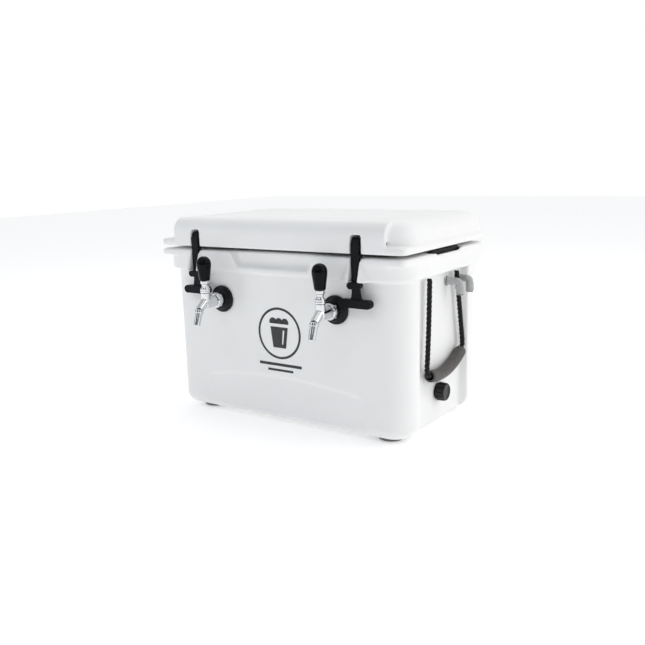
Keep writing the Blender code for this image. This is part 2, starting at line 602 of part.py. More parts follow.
def make_tap_body(word, x):
    """Barrel along Y, upright body, and the bend that the spout screws into."""
    front = -TUB_HALF[1]
    start = front - 0.0153
    body = cylinder(f"{word}_tap_body", (x, start, TAP_Z), (x, BARREL_Y, TAP_Z), 0.0092, 16,
                    "polished_steel")
    shoulder = cylinder(f"{word}_shoulder", (x, front - 0.0282, TAP_Z),
                        (x, BARREL_Y + 0.004, TAP_Z), 0.0118, 16, end_radius=0.0100)
    collar = cylinder(f"{word}_collar", (x, start, TAP_Z), (x, start - 0.0060, TAP_Z), 0.0110, 16)
    upright = cylinder(f"{word}_upright", (x, BARREL_Y, 0.2330), (x, BARREL_Y, 0.2610), 0.0090, 16)
    nose = cylinder(f"{word}_nose", (x, BARREL_Y + 0.004, 0.2500), (x, -0.2270, 0.2300), 0.0088, 14,
                    end_radius=0.0082)
    join(body, shoulder, collar, upright, nose)
    bore = cylinder(f"{word}_bore", (x, start + 0.01, TAP_Z), (x, BARREL_Y - 0.0070, TAP_Z),
                    0.0064, 14)
    well = cylinder(f"{word}_well", (x, BARREL_Y, TAP_Z), (x, BARREL_Y, 0.28), 0.0058, 12)
    channel = cylinder(f"{word}_channel_out", (x, BARREL_Y - 0.004, TAP_Z),
                       (x, -0.2285, 0.2260), 0.0042, 8)
    lean = Vector(SPOUT_LEAN).normalized()
    seat = Vector((x, *SPOUT_TOP))
    spout_room = cylinder(f"{word}_spout_room", seat - lean * GAP, seat + lean * 0.04, 0.013, 8)
    cut(body, bore, well, arm_room(word, x), channel, spout_room)
    turned(f"{word}_spout",
           [(0.0042, 0), (0.0080, 0), (0.0083, 0.006), (0.0064, 0.031), (0.0050, 0.031),
            (0.0042, 0.025)][::-1],
           seat, lean, "polished_steel", steps=16, ring=True)
    turned(f"{word}_bonnet",
           [(0.0088, 0.0015), (0.0096, 0.0012), (0.0100, -0.0005), (0.0096, -0.0020),
            (0.0100, -0.0035), (0.0096, -0.0067), (0.0070, -0.0067), (0.0089, -0.0002)],
           (x, BARREL_Y, LEVER_PIVOT_Z), (0, 0, 1), "polished_steel", steps=16, ring=True)


def arm_room(word, x):
    """Room behind the lever's arm for its swing."""
    outline = [(0.002, TAP_Z), (-0.0096, TAP_Z), (-0.0096, 0.2486), (-0.0080, 0.2530),
               (-0.0052, 0.2600), (0.002, 0.2600)]
    room = flat_shape(f"{word}_arm_room", outline, 0.0050, (0, 0, 0))
    room.rotation_euler = (0, 0, -math.pi / 2)
    room.location = (x, BARREL_Y, 0)
    return room


def make_lever(word, x):
    """Ball lever with its handle, on a pivot in the bonnet, and the shuttle it pushes."""
    centre = pivot(f"{word}_lever_pivot", (x, BARREL_Y, LEVER_PIVOT_Z))
    ball = 0.0084
    rise = [math.radians(a) for a in (52, 36, 18, 0, -18, -36, -54)]
    profile = [(0, 0.0170), (0.0085, 0.0170), (0.0085, 0.0095)]
    profile += [(ball * math.cos(a), ball * math.sin(a)) for a in rise]
    profile += [(0.0020, -0.0080), (0.0020, -0.0220), (0.0014, -0.0228), (0, -0.0228)]
    lever = turned(f"{word}_lever", profile, (x, BARREL_Y, LEVER_PIVOT_Z), (0, 0, 1),
                   "polished_steel", steps=16)
    handle = turned(f"{word}_tap_handle",
                    [(0, 0.0635), (0.0060, 0.0622), (0.0105, 0.0585), (0.0134, 0.0530),
                     (0.0140, 0.0480), (0.0133, 0.0400), (0.0110, 0.0240), (0.0102, 0.0180),
                     (0.0095, 0.0170 + GAP), (0, 0.0170 + GAP)],
                    (x, BARREL_Y, LEVER_PIVOT_Z), (0, 0, 1), "black_plastic", steps=16)
    carry(lever, centre)
    carry(handle, centre)
    shuttle = cylinder(f"{word}_shuttle", (x, BARREL_Y + 0.0150, TAP_Z),
                       (x, BARREL_Y - 0.0060, TAP_Z), 0.0058, 12, "plain_steel")
    pocket = cylinder(f"{word}_shuttle_pocket", (x, BARREL_Y, TAP_Z - 0.002),
                      (x, BARREL_Y, TAP_Z + 0.02), 0.0040, 10)
    cut(shuttle, pocket)


# ---- end fittings ----
def make_inlet(word, y):
    """Bulkhead stem through the right wall, its nut inside, and the elbow that swivels on it."""
    wall, inside = RECESS_WALL, CAVITY_HALF[0]
    turned(f"{word}_inlet_stem",
           [(0.0030, 0.0180), (0.0048, 0.0180), (0.0048, 0.0028), (0.0095, 0.0028),
            (0.0095, 0.0003), (0.0062, 0.0003), (0.0062, inside - wall - 0.0160),
            (0.0030, inside - wall - 0.0160)],
           (wall, y, INLET_Z), (1, 0, 0), "grey_plastic", steps=12, ring=True)
    nut(f"{word}_inlet_nut", 0.0062, 0.0110, 0.0070, (inside - GAP, y, INLET_Z), (1, 0, 0),
        "grey_plastic")
    turn = pivot(f"{word}_elbow_pivot", (wall, y, INLET_Z))
    elbow = cylinder(f"{word}_inlet_elbow", (wall + 0.0032, y, INLET_Z),
                     (ELBOW_X + 0.001, y, INLET_Z), 0.0072, 16, "grey_plastic")
    leg = cylinder(f"{word}_leg", (ELBOW_X, y, INLET_Z + 0.0078), (ELBOW_X, y, INLET_Z - 0.0255),
                   ELBOW_RADIUS, 16)
    socket = cylinder(f"{word}_socket", (ELBOW_X, y, INLET_Z - 0.010),
                      (ELBOW_X, y, INLET_Z - 0.03), 0.0041, 12)
    throat = cylinder(f"{word}_throat", (wall, y, INLET_Z), (ELBOW_X - 0.009, y, INLET_Z), 0.0050,
                      12)
    join(elbow, leg)
    cut(elbow, socket, throat)
    carry(elbow, turn)


def make_drain():
    wall, inside = RECESS_WALL, CAVITY_HALF[0]
    turned("drain_spigot",
           [(0.0080, 0.0120), (0.0100, 0.0120), (0.0100, 0.0032), (0.0160, 0.0032),
            (0.0160, 0.0003), (0.0106, 0.0003), (0.0106, inside - wall - 0.0085),
            (0.0080, inside - wall - 0.0085)],
           (wall, 0, DRAIN_Z), (1, 0, 0), "black_plastic", ring=True)
    nut("drain_nut", 0.0106, 0.0160, 0.0070, (inside - GAP, 0, DRAIN_Z), (1, 0, 0),
        "black_plastic", 8)
    turned("drain_seal",
           [(0, 0.0148), (0.0098, 0.0148), (0.0098, 0.0124), (0, 0.0124)],
           (wall, 0, DRAIN_Z), (1, 0, 0), "black_rubber")
    turn = pivot("drain_cap_pivot", (wall, 0, DRAIN_Z))
    cap = turned("drain_cap",
                 [(0, 0.0205), (0.0150, 0.0205), (0.0165, 0.0192), (0.0180, 0.0040),
                  (0.0112, 0.0040), (0.0112, 0.0152), (0, 0.0152)],
                 (wall, 0, DRAIN_Z), (1, 0, 0), "black_plastic", steps=18)
    for i in range(6):
        angle = 2 * math.pi * (i + 0.5) / 6
        y, z = 0.0192 * math.cos(angle), DRAIN_Z + 0.0192 * math.sin(angle)
        cut(cap, cylinder(f"cap_notch_{i}", (wall + 0.008, y, z), (wall + 0.03, y, z), 0.0030, 6))
    carry(cap, turn)


# ---- rope handles ----
def grip_route(side):
    """Middle line of the sagging grip."""
    return [(side * ROPE_X, -0.056, 0.1115), (side * ROPE_X, -0.025, 0.1070),
            (side * ROPE_X, 0.012, 0.1078), (side * ROPE_X, 0.050, 0.1175),
            (side * ROPE_X, 0.080, 0.1320)]


def rope_route(side):
    """The rope from under its front hole, through the grip, to under its rear hole."""
    x = side * ROPE_X
    front_leg = [(x, -0.057, HANDLE_PIVOT_Z), (x, -0.0585, 0.250), (x, -0.0610, 0.200),
                 (x, -0.0650, 0.150), (x, -0.0672, 0.130), (x, -0.0640, 0.1170)]
    inside = [(x, -0.0500, 0.1105), (x, -0.025, 0.1078), (x, 0.012, 0.1086), (x, 0.050, 0.1183),
              (x, 0.0740, 0.1300)]
    rear_leg = [(x, 0.0845, 0.1385), (x, 0.0868, 0.1490), (x, 0.0805, 0.180),
                (x, 0.0722, 0.220), (x, 0.0630, 0.262), (x, 0.057, HANDLE_PIVOT_Z)]
    return front_leg + inside + rear_leg


def make_handle(word, side):
    swing = pivot(f"{word}_handle_pivot", (side * ROPE_X, 0, HANDLE_PIVOT_Z))
    rope = tube(f"{word}_handle_rope", smooth_route(rope_route(side), 0.015), ROPE_RADIUS,
                "black_rope", resolution=1, round_ends=True)
    sleeve = tube(f"{word}_grip_outer", smooth_route(grip_route(side), 0.020), GRIP_RADIUS,
                  None, resolution=4)
    ends = grip_route(side)
    first, last = Vector(ends[0]), Vector(ends[-1])
    bore_route = [first + (first - Vector(ends[1])) * 0.2] + ends[1:-1] + [
        last + (last - Vector(ends[-2])) * 0.2]
    bore = tube(f"{word}_grip_bore", smooth_route(bore_route, 0.020), GRIP_BORE, None,
                resolution=2)
    grip = solid_of(sleeve, f"{word}_handle_grip", "dark_grip")
    cut(grip, solid_of(bore, f"{word}_grip_hollow", None))
    carry(rope, swing)
    carry(grip, swing)
    x = side * ROPE_X
    bend = 0.0055
    arch = [(x, -ROPE_Y, 0.2966)]
    for start, sign in ((0, 1), (1, -1)):
        for i in range(4):
            angle = math.pi / 2 * (i if start == 0 else 3 - i) / 3
            y = ROPE_Y - bend + bend * math.cos(angle)
            z = BRIDGE_Z - bend + bend * math.sin(angle)
            arch.append((x, -sign * y, z))
    arch.append((x, ROPE_Y, 0.2966))
    tube(f"{word}_rope_bridge", arch, ROPE_RADIUS, "black_rope", resolution=1)


def solid_of(curve_object, name, finish):
    """The mesh of a curve object, welded, in place of the curve."""
    graph = bpy.context.evaluated_depsgraph_get()
    mesh = bpy.data.meshes.new_from_object(curve_object.evaluated_get(graph))
    bm = bmesh.new()
    bm.from_mesh(mesh)
    bmesh.ops.remove_doubles(bm, verts=bm.verts, dist=1e-5)
    bpy.data.objects.remove(curve_object, do_unlink=True)
    obj = add(name, mesh_from(bm, name), finish)
    return obj


# ---- coils ----
def coil_point(side, angle, height):
    return Vector((side * COIL_X + COIL_RADIUS * math.cos(angle),
                   COIL_Y + COIL_RADIUS * math.sin(angle), height))


def coil_route(side):
    """The helix from its lower end up, then the tail that turns up into the tap's connector."""
    points = []
    for i in range(round(COIL_TURNS * COIL_STEPS) + 1):
        turn = i / COIL_STEPS
        points.append(coil_point(side, COIL_START + 2 * math.pi * turn,
                                 COIL_BOTTOM + COIL_PITCH * turn))
    top = points[-1].z
    bend = [points[-1]]
    for angle, rise in ((250, 0.002), (262, 0.007)):
        bend.append(coil_point(side, math.radians(angle + 8 * side), top + rise))
    end_z = TAP_Z - CONNECTOR_DROP - 2 * GAP
    bend += [(side * TAP_X, CONNECTOR_Y, end_z - 0.008), (side * TAP_X, CONNECTOR_Y, end_z)]
    return points[:-1] + smooth_route(bend, 0.008)


def make_coil(word, side):
    """The cooling coil and the plastic tube that brings beer down to its lower end."""
    tube(f"{word}_coil", coil_route(side), TUBE_RADIUS, "plain_steel", resolution=1)
    down_x = side * COIL_X + 0.089
    inlet_y = INLET_Y[1] if side > 0 else INLET_Y[0]
    start = (CAVITY_HALF[0] - 0.0180, inlet_y, INLET_Z)
    if side > 0:
        knots = [start, (0.2100, inlet_y, 0.2749), (0.2062, 0.0855, 0.268), (down_x, 0.098, 0.245)]
    else:
        knots = [start, (0.2085, 0.0362, 0.275), (0.198, 0.044, 0.275), (0.184, 0.070, 0.272),
                 (0.150, 0.097, 0.267),
                 (0.080, 0.108, 0.263), (0.020, 0.108, 0.258), (-0.016, 0.104, 0.242),
                 (down_x, 0.101, 0.215)]
    lower = coil_point(side, COIL_START, COIL_BOTTOM)
    knots += [(down_x, 0.101, 0.150), (down_x, 0.099, 0.082), (down_x - 0.0050, 0.0935, 0.0632),
              lower + Vector((0.0282, -0.0103, 0.0002)), lower + Vector((0.0012, -0.0004, 0))]
    tube(f"{word}_inlet_tube", smooth_route(knots, 0.009), TUBE_RADIUS, "clear_tube",
         resolution=1)


# ---- assembly ----
make_tub()
make_lid()
for side_word, side_sign in SIDES:
    make_latch(side_word, side_sign)
    make_tap(side_word, side_sign)
    make_handle(side_word, side_sign)
    make_coil(side_word, side_sign)
for inlet_word, inlet_y in zip(("front", "rear"), INLET_Y):
    make_inlet(inlet_word, inlet_y)
make_drain()
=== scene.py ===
"""Looks of the two-tap jockey box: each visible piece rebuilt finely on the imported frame."""

import json
import math

import bmesh
import bpy
from mathutils import Matrix, Vector


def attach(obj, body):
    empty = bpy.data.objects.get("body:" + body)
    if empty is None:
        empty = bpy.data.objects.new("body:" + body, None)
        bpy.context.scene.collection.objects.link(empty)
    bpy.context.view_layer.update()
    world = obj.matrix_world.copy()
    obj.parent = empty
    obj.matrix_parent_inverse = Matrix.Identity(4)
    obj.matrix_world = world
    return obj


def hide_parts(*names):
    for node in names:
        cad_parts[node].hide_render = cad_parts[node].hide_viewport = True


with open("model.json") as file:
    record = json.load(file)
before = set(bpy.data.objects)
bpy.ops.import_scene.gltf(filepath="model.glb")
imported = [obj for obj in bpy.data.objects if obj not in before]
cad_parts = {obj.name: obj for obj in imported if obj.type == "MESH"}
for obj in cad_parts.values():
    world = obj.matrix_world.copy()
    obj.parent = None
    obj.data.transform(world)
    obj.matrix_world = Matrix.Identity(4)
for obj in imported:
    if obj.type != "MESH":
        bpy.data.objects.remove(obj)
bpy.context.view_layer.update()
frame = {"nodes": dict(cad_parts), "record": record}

JOINTS = {joint["name"]: joint for joint in frame["record"]["behaviour"]["joints"]}
SIDES = (("left", -1), ("right", 1))

# Half sizes and places about the middle of the tub's footprint, in metres.
TUB = (0.272, 0.157)
LIP = (0.280, 0.173)
HINGE_Y, HINGE_Z, KNUCKLE_X = 0.184, 0.3415, 0.160
FOOT_X, FOOT_Y = 0.214, 0.105
LATCH_X, LATCH_PIN_Y, LATCH_PIN_Z = 0.185, -0.163, 0.3635
TAP_X, TAP_Z, BARREL_Y, PIVOT_Z = 0.1335, 0.242, -0.2065, 0.268
SPOUT_TOP, SPOUT_LEAN = (-0.2256, 0.2312), (0, -10.1, -29)
RECESS_WALL, RECESS_HALF = 0.256, 0.096
ROPE_X, ROPE_Y, ROPE_RADIUS = 0.268, 0.057, 0.0050
SWING_Z = JOINTS["right_handle_swing"]["pos_m"][2]
INLET_Y, INLET_Z, ELBOW_X = (0.036, 0.081), 0.275, 0.285
DRAIN_Z = 0.068
COIL_X, COIL_Y, COIL_RADIUS, TUBE_RADIUS = 0.116, 0.014, 0.097, 0.0040
COIL_TURNS, COIL_PITCH, COIL_BOTTOM, COIL_START = 12 + 5 / 12, 0.0112, 0.0565, 70
CONNECTOR_Y, CONNECTOR_DROP = -0.0835, 0.0171
LEAN = Vector(SPOUT_LEAN).normalized()

# The middle of the tub's footprint in the row frame, found from the lid's hinge.
LID_PIN = JOINTS["lid_hinge"]["pos_m"]
SHIFT = Vector((LID_PIN[0], LID_PIN[1] - HINGE_Y, 0.0))


# ---- camera, light and floor ----
CAMERA_TURN = (34.47, 11.74, -1.58)         # azimuth, elevation and roll, in degrees
CAMERA_PLACE = (0.866, -1.2685, 0.4959)
FOCAL_IN_WIDTHS, SENSOR_MM = 760 / 645, 36.0


def make_camera():
    azimuth, elevation, roll = (math.radians(a) for a in CAMERA_TURN)
    forward = Vector((-math.sin(azimuth) * math.cos(elevation),
                      math.cos(azimuth) * math.cos(elevation), -math.sin(elevation)))
    across = forward.cross(Vector((0, 0, 1))).normalized()
    upward = across.cross(forward)
    right = across * math.cos(roll) + upward * math.sin(roll)
    up = upward * math.cos(roll) - across * math.sin(roll)
    data = bpy.data.cameras.new("photo_camera")
    data.sensor_width = SENSOR_MM
    data.lens = FOCAL_IN_WIDTHS * SENSOR_MM
    data.clip_end = 30
    camera = bpy.data.objects.new("photo_camera", data)
    place = Matrix((right, up, -forward)).transposed().to_4x4()
    place.translation = Vector(CAMERA_PLACE) + SHIFT
    camera.matrix_world = place
    bpy.context.scene.collection.objects.link(camera)
    bpy.context.scene.camera = camera


def area_light(name, at, aim, size, power, colour=(1, 1, 1)):
    data = bpy.data.lights.new(name, "AREA")
    data.shape = "RECTANGLE"
    data.size, data.size_y = size
    data.energy = power
    data.color = colour
    lamp = bpy.data.objects.new(name, data)
    lamp.location = at
    lamp.rotation_euler = (Vector(aim) - Vector(at)).to_track_quat("-Z", "Y").to_euler()
    bpy.context.scene.collection.objects.link(lamp)


def make_studio():
    make_sky()
    area_light("key_right", (2.4, 0.5, 1.5), (0.2, 0, 0.2), (1.5, 1.5), 11, (1.0, 0.985, 0.96))
    area_light("top_soft", (0.2, 0.5, 2.6), (0, 0, 0.3), (2.6, 2.2), 8)
    area_light("front_left", (-1.5, -1.7, 0.9), (0, 0, 0.2), (0.8, 1.4), 5, (0.97, 0.985, 1.0))
    area_light("front_high", (-0.2, -1.9, 2.0), (0, -0.1, 0.3), (1.4, 0.5), 8, (0.93, 0.965, 1.0))
    area_light("front_strip", (0.9, -2.6, 1.5), (0, -0.1, 0.25), (0.35, 1.4), 3)
    bpy.ops.mesh.primitive_plane_add(size=14, location=(0, 2, -0.0002))
    floor = bpy.context.object
    floor.name = "studio_floor"
    paint = Paint("floor_white")
    shader = paint.node("bsdf")
    shader.inputs["Base Color"].default_value = (0.96, 0.96, 0.96, 1)
    shader.inputs["Roughness"].default_value = 0.9
    shader.inputs["Emission Color"].default_value = (1, 1, 1, 1)
    shader.inputs["Emission Strength"].default_value = 0.28
    floor.data.materials.append(paint.material)
    view = bpy.context.scene.view_settings
    view.view_transform = "Standard"
    view.look = "None"
    view.exposure = 0.0


def make_sky():
    """White studio walls at the back and right, and a dimmer, cooler room in front."""
    world = bpy.data.worlds.new("studio")
    world.use_nodes = True
    nodes, links = world.node_tree.nodes, world.node_tree.links
    coords = nodes.new("ShaderNodeTexCoord")
    toward = nodes.new("ShaderNodeVectorMath")
    toward.operation = "DOT_PRODUCT"
    toward.inputs[1].default_value = (0.20, 0.98, 0.0)
    ramp = nodes.new("ShaderNodeValToRGB")
    for point, (position, colour) in zip(ramp.color_ramp.elements,
                                         ((0.0, (0.15, 0.165, 0.19, 1)), (1.0, (1, 1, 1, 1)))):
        point.position, point.color = position, colour
    spread = nodes.new("ShaderNodeMapRange")
    spread.inputs["From Min"].default_value = -0.65
    spread.inputs["From Max"].default_value = 0.30
    links.new(coords.outputs["Generated"], toward.inputs[0])
    links.new(toward.outputs["Value"], spread.inputs["Value"])
    links.new(spread.outputs["Result"], ramp.inputs["Fac"])
    links.new(ramp.outputs["Color"], nodes["Background"].inputs["Color"])
    nodes["Background"].inputs["Strength"].default_value = 1.0
    bpy.context.scene.world = world


# ---- materials ----
class Paint:
    """A material under construction, with short calls for its nodes."""

    def __init__(self, name):
        self.material = bpy.data.materials.new(name)
        self.material.use_nodes = True
        self.nodes = self.material.node_tree.nodes
        self.links = self.material.node_tree.links
        self.named = {"bsdf": self.nodes["Principled BSDF"]}

    def node(self, name):
        return self.named[name]

    def add(self, name, kind, **values):
        made = self.nodes.new(kind)
        for key, value in values.items():
            if key.startswith("in_"):
                made.inputs[key[3:].replace("_", " ")].default_value = value
            else:
                setattr(made, key, value)
        self.named[name] = made
        return made

    def link(self, source, out, target, into):
        self.links.new(self.named[source].outputs[out], self.named[target].inputs[into])

    def ramp(self, name, source, out, stops):
        made = self.add(name, "ShaderNodeValToRGB")
        points = made.color_ramp.elements
        points[0].position, points[0].color = stops[0][0], (*stops[0][1], 1)
        points[1].position, points[1].color = stops[-1][0], (*stops[-1][1], 1)
        for position, colour in stops[1:-1]:
            points.new(position).color = (*colour, 1)
        self.link(source, out, name, "Fac")
        return made


def place_noise(paint, name, scale, detail=3.0, rough=0.5, stretch=None):
    """A noise read from the piece's own coordinates."""
    if "coords" not in paint.named:
        paint.add("coords", "ShaderNodeTexCoord")
    source, out = "coords", "Object"
    if stretch:
        mapping = paint.add(name + "_map", "ShaderNodeMapping")
        mapping.inputs["Scale"].default_value = stretch
        paint.link("coords", "Object", name + "_map", "Vector")
        source, out = name + "_map", "Vector"
    paint.add(name, "ShaderNodeTexNoise", in_Scale=scale, in_Detail=detail, in_Roughness=rough)
    paint.link(source, out, name, "Vector")


def bumped(paint, source, out, strength, distance):
    paint.add("bump", "ShaderNodeBump", in_Strength=strength, in_Distance=distance)
    paint.link(source, out, "bump", "Height")
    paint.link("bump", "Normal", "bsdf", "Normal")


def surface(name, dark, light, rough_low, rough_high, metallic=0.0, colour_scale=18.0,
            grain_scale=900.0, grain=0.15, grain_depth=0.0001, specular=0.5, subsurface=0.0,
            transmission=0.0):
    """A surface whose colour wanders between two tones, with uneven gloss and a fine grain."""
    paint = Paint(name)
    shader = paint.node("bsdf")
    place_noise(paint, "tone", colour_scale, 4.0, 0.55)
    paint.ramp("tone_ramp", "tone", "Fac", [(0.32, dark), (0.68, light)])
    paint.link("tone_ramp", "Color", "bsdf", "Base Color")
    place_noise(paint, "gloss", colour_scale * 4, 3.0, 0.6)
    spread = paint.add("gloss_range", "ShaderNodeMapRange")
    for socket, value in (("From Min", 0.3), ("From Max", 0.7), ("To Min", rough_low),
                          ("To Max", rough_high)):
        spread.inputs[socket].default_value = value
    paint.link("gloss", "Fac", "gloss_range", "Value")
    paint.link("gloss_range", "Result", "bsdf", "Roughness")
    place_noise(paint, "grain", grain_scale, 2.0, 0.5)
    bumped(paint, "grain", "Fac", grain, grain_depth)
    shader.inputs["Metallic"].default_value = metallic
    shader.inputs["Specular IOR Level"].default_value = specular
    shader.inputs["Transmission Weight"].default_value = transmission
    if subsurface:
        shader.inputs["Subsurface Weight"].default_value = subsurface
        shader.inputs["Subsurface Radius"].default_value = (0.006, 0.006, 0.005)
        shader.inputs["Subsurface Scale"].default_value = 0.4
    return paint.material


MATERIALS = {}


def make_materials():
    MATERIALS.update({
        "white": surface("white_polyethylene", (0.865, 0.865, 0.858), (0.890, 0.892, 0.888),
                         0.36, 0.46, colour_scale=9, grain_scale=420, grain=0.10,
                         grain_depth=0.0004, specular=0.42, subsurface=0.12),
        "rubber": surface("latch_rubber", (0.003, 0.004, 0.005), (0.007, 0.008, 0.010), 0.38, 0.55,
                          colour_scale=60, grain_scale=1600, grain=0.25, specular=0.14),
        "gloss_black": surface("handle_black", (0.001, 0.001, 0.0015), (0.002, 0.002, 0.003), 0.05,
                               0.09, colour_scale=50, grain_scale=300, grain=0.04,
                               specular=0.13),
        "satin_black": surface("flange_black", (0.004, 0.004, 0.005), (0.009, 0.009, 0.011), 0.24,
                               0.36, colour_scale=70, grain_scale=1400, grain=0.12,
                               specular=0.2),
        "cap_black": surface("cap_black", (0.012, 0.012, 0.012), (0.024, 0.023, 0.022), 0.34,
                             0.48, colour_scale=80, grain_scale=1500, grain=0.2,
                             specular=0.3),
        "grey": surface("elbow_grey", (0.40, 0.405, 0.41), (0.46, 0.462, 0.465), 0.30, 0.42,
                        colour_scale=70, grain_scale=1500, grain=0.10),
        "collet": surface("collet_grey", (0.20, 0.205, 0.21), (0.25, 0.252, 0.255), 0.34, 0.46,
                          colour_scale=70, grain_scale=1500, grain=0.10),
        "grip": surface("grip_plastic", (0.050, 0.047, 0.045), (0.085, 0.080, 0.076), 0.45, 0.62,
                        colour_scale=120, grain_scale=2200, grain=0.45, grain_depth=0.0002),
        "chrome": surface("chrome_plate", (0.66, 0.665, 0.68), (0.73, 0.735, 0.75), 0.04, 0.09,
                          1.0, colour_scale=40, grain_scale=160, grain=0.02),
        "stainless": surface("stainless_tube", (0.55, 0.555, 0.565), (0.66, 0.665, 0.675), 0.20,
                             0.34, 1.0, colour_scale=60, grain_scale=1200, grain=0.08),
        "brass": surface("brass_nut", (0.62, 0.44, 0.18), (0.76, 0.58, 0.28), 0.22, 0.36, 1.0,
                         colour_scale=90, grain_scale=900, grain=0.1),
        "foam": surface("urethane_foam", (0.66, 0.56, 0.34), (0.80, 0.71, 0.48), 0.85, 0.95,
                        colour_scale=60, grain_scale=700, grain=0.6, grain_depth=0.0006),
        "gasket": surface("gasket_foam", (0.16, 0.16, 0.165), (0.22, 0.22, 0.225), 0.75, 0.9,
                          colour_scale=90, grain_scale=1500, grain=0.5, grain_depth=0.0003),
        "foot": surface("foot_rubber", (0.13, 0.125, 0.125), (0.19, 0.185, 0.185), 0.6, 0.75,
                        colour_scale=90, grain_scale=1500, grain=0.3),
        "print": surface("printed_mark", (0.020, 0.021, 0.024), (0.030, 0.031, 0.034), 0.40, 0.52,
                         colour_scale=120, grain_scale=900, grain=0.05),
        "rope": rope_material(),
        "clear": surface("clear_tube", (0.70, 0.72, 0.72), (0.80, 0.82, 0.81), 0.16, 0.28,
                         colour_scale=60, grain_scale=700, grain=0.05, subsurface=0.3,
                         transmission=0.35),
    })


def rope_material():
    """Black fibre: fine filaments along each strand, in random dark tones, with lighter patches that
    are painted glints.
    """
    paint = Paint("black_rope")
    place_noise(paint, "fibre_tone_and_glint", 900, 4.0, 0.7)
    # The lightest stop paints glints: random patches of the fibre are made lighter to stand in for
    # highlights.
    paint.ramp("fibre_tone_and_glint_ramp", "fibre_tone_and_glint", "Fac", [(0.30, (0.002, 0.002, 0.002)),
                                            (0.55, (0.005, 0.005, 0.005)),
                                            (0.78, (0.030, 0.029, 0.028))])
    paint.link("fibre_tone_and_glint_ramp", "Color", "bsdf", "Base Color")
    place_noise(paint, "fibre", 1500, 2.0, 0.6, (1.0, 1.0, 0.25))
    bumped(paint, "fibre", "Fac", 0.7, 0.0004)
    shader = paint.node("bsdf")
    shader.inputs["Roughness"].default_value = 0.42
    shader.inputs["Specular IOR Level"].default_value = 0.25
    return paint.material


# ---- mesh helpers; all shapes are drawn about the tub's middle ----
def keep_mesh(bm, name):
    bm.normal_update()
    bmesh.ops.recalc_face_normals(bm, faces=bm.faces)
    if bm.calc_volume(signed=True) < 0:
        bmesh.ops.reverse_faces(bm, faces=bm.faces)
    mesh = bpy.data.meshes.new(name)
    bm.to_mesh(mesh)
    bm.free()
    mesh.shade_smooth()
    return mesh


def piece(name, mesh, paint, body, *nodes, smooth_angle=None):
    """A shown piece in the row frame, on its body, standing for CAD nodes."""
    obj = bpy.data.objects.new(name, mesh)
    bpy.context.scene.collection.objects.link(obj)
    mesh.transform(Matrix.Translation(SHIFT))
    if mesh.materials:
        mesh.materials[0] = MATERIALS[paint]
    else:
        mesh.materials.append(MATERIALS[paint])
    if smooth_angle:
        mesh.set_sharp_from_angle(angle=math.radians(smooth_angle))
    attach(obj, body)
    if nodes:
        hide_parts(*nodes)
    return obj


def temp(mesh):
    obj = bpy.data.objects.new("helper", mesh)
    bpy.context.scene.collection.objects.link(obj)
    return obj


def baked(obj, *modifiers):
    """The object's mesh once these (kind, settings) modifiers are applied. The object goes."""
    for kind, settings in modifiers:
        made = obj.modifiers.new(kind.lower(), kind)
        for key, value in settings.items():
            setattr(made, key, value)
    graph = bpy.context.evaluated_depsgraph_get()
    graph.update()
    mesh = bpy.data.meshes.new_from_object(obj.evaluated_get(graph))
    bpy.data.objects.remove(obj, do_unlink=True)
    return mesh


def combine(base, joins=(), cuts=()):
    """base plus the joins less the cuts, as a mesh. All are meshes."""
    body = temp(base)
    others = []
    steps = []
    for operation, group in (("UNION", joins), ("DIFFERENCE", cuts)):
        for mesh in group:
            other = temp(mesh)
            others.append(other)
            steps.append(("BOOLEAN", {"operation": operation, "solver": "EXACT",
                                      "object": other}))
    mesh = baked(body, *steps)
    for other in others:
        bpy.data.objects.remove(other, do_unlink=True)
    return mesh


def merged(meshes):
    """Meshes laid into one, overlaps and all, for a melt to fuse."""
    bm = bmesh.new()
    for mesh in meshes:
        bm.from_mesh(mesh)
    return keep_mesh(bm, "merged")


def melted(mesh, voxel, rounds):
    """The mesh with its edges melted into soft moulded ones."""
    obj = temp(mesh)
    mesh = baked(obj, ("REMESH", {"mode": "VOXEL", "voxel_size": voxel, "use_smooth_shade": True}),
                 ("SMOOTH", {"factor": 0.5, "iterations": rounds}))
    mesh.shade_smooth()
    return mesh


def box(low, high):
    bm = bmesh.new()
    bmesh.ops.create_cube(bm, size=1.0)
    bmesh.ops.scale(bm, vec=[h - l for l, h in zip(low, high)], verts=bm.verts)
    bmesh.ops.translate(bm, vec=[(h + l) / 2 for l, h in zip(low, high)], verts=bm.verts)
    return bm


def bevel(bm, edges, radius, segments):
    bmesh.ops.bevel(bm, geom=edges, offset=radius, offset_type="OFFSET", segments=segments,
                    profile=0.5, affect="EDGES", clamp_overlap=True)


def rounded(low, high, front=0.0, rear=0.0, bottom=0.0, top=0.0, segments=14, edge_segments=8):
    """A box with rounded upright corners, then rounded bottom and top edges."""
    bm = box(low, high)
    for radius, y in ((front, low[1]), (rear, high[1])):
        if radius > 0:
            bevel(bm, [e for e in bm.edges
                       if abs(e.verts[0].co.z - e.verts[1].co.z) > 1e-6
                       and all(abs(v.co.y - y) < 1e-6 for v in e.verts)], radius, segments)
    for radius, z in ((bottom, low[2]), (top, high[2])):
        if radius > 0:
            bevel(bm, [e for e in bm.edges if all(abs(v.co.z - z) < 1e-6 for v in e.verts)
                       and any(abs(f.normal.z) < 0.5 for f in e.link_faces)], radius,
                  edge_segments)
    return keep_mesh(bm, "rounded")


def block(low, high):
    return keep_mesh(box(low, high), "block")


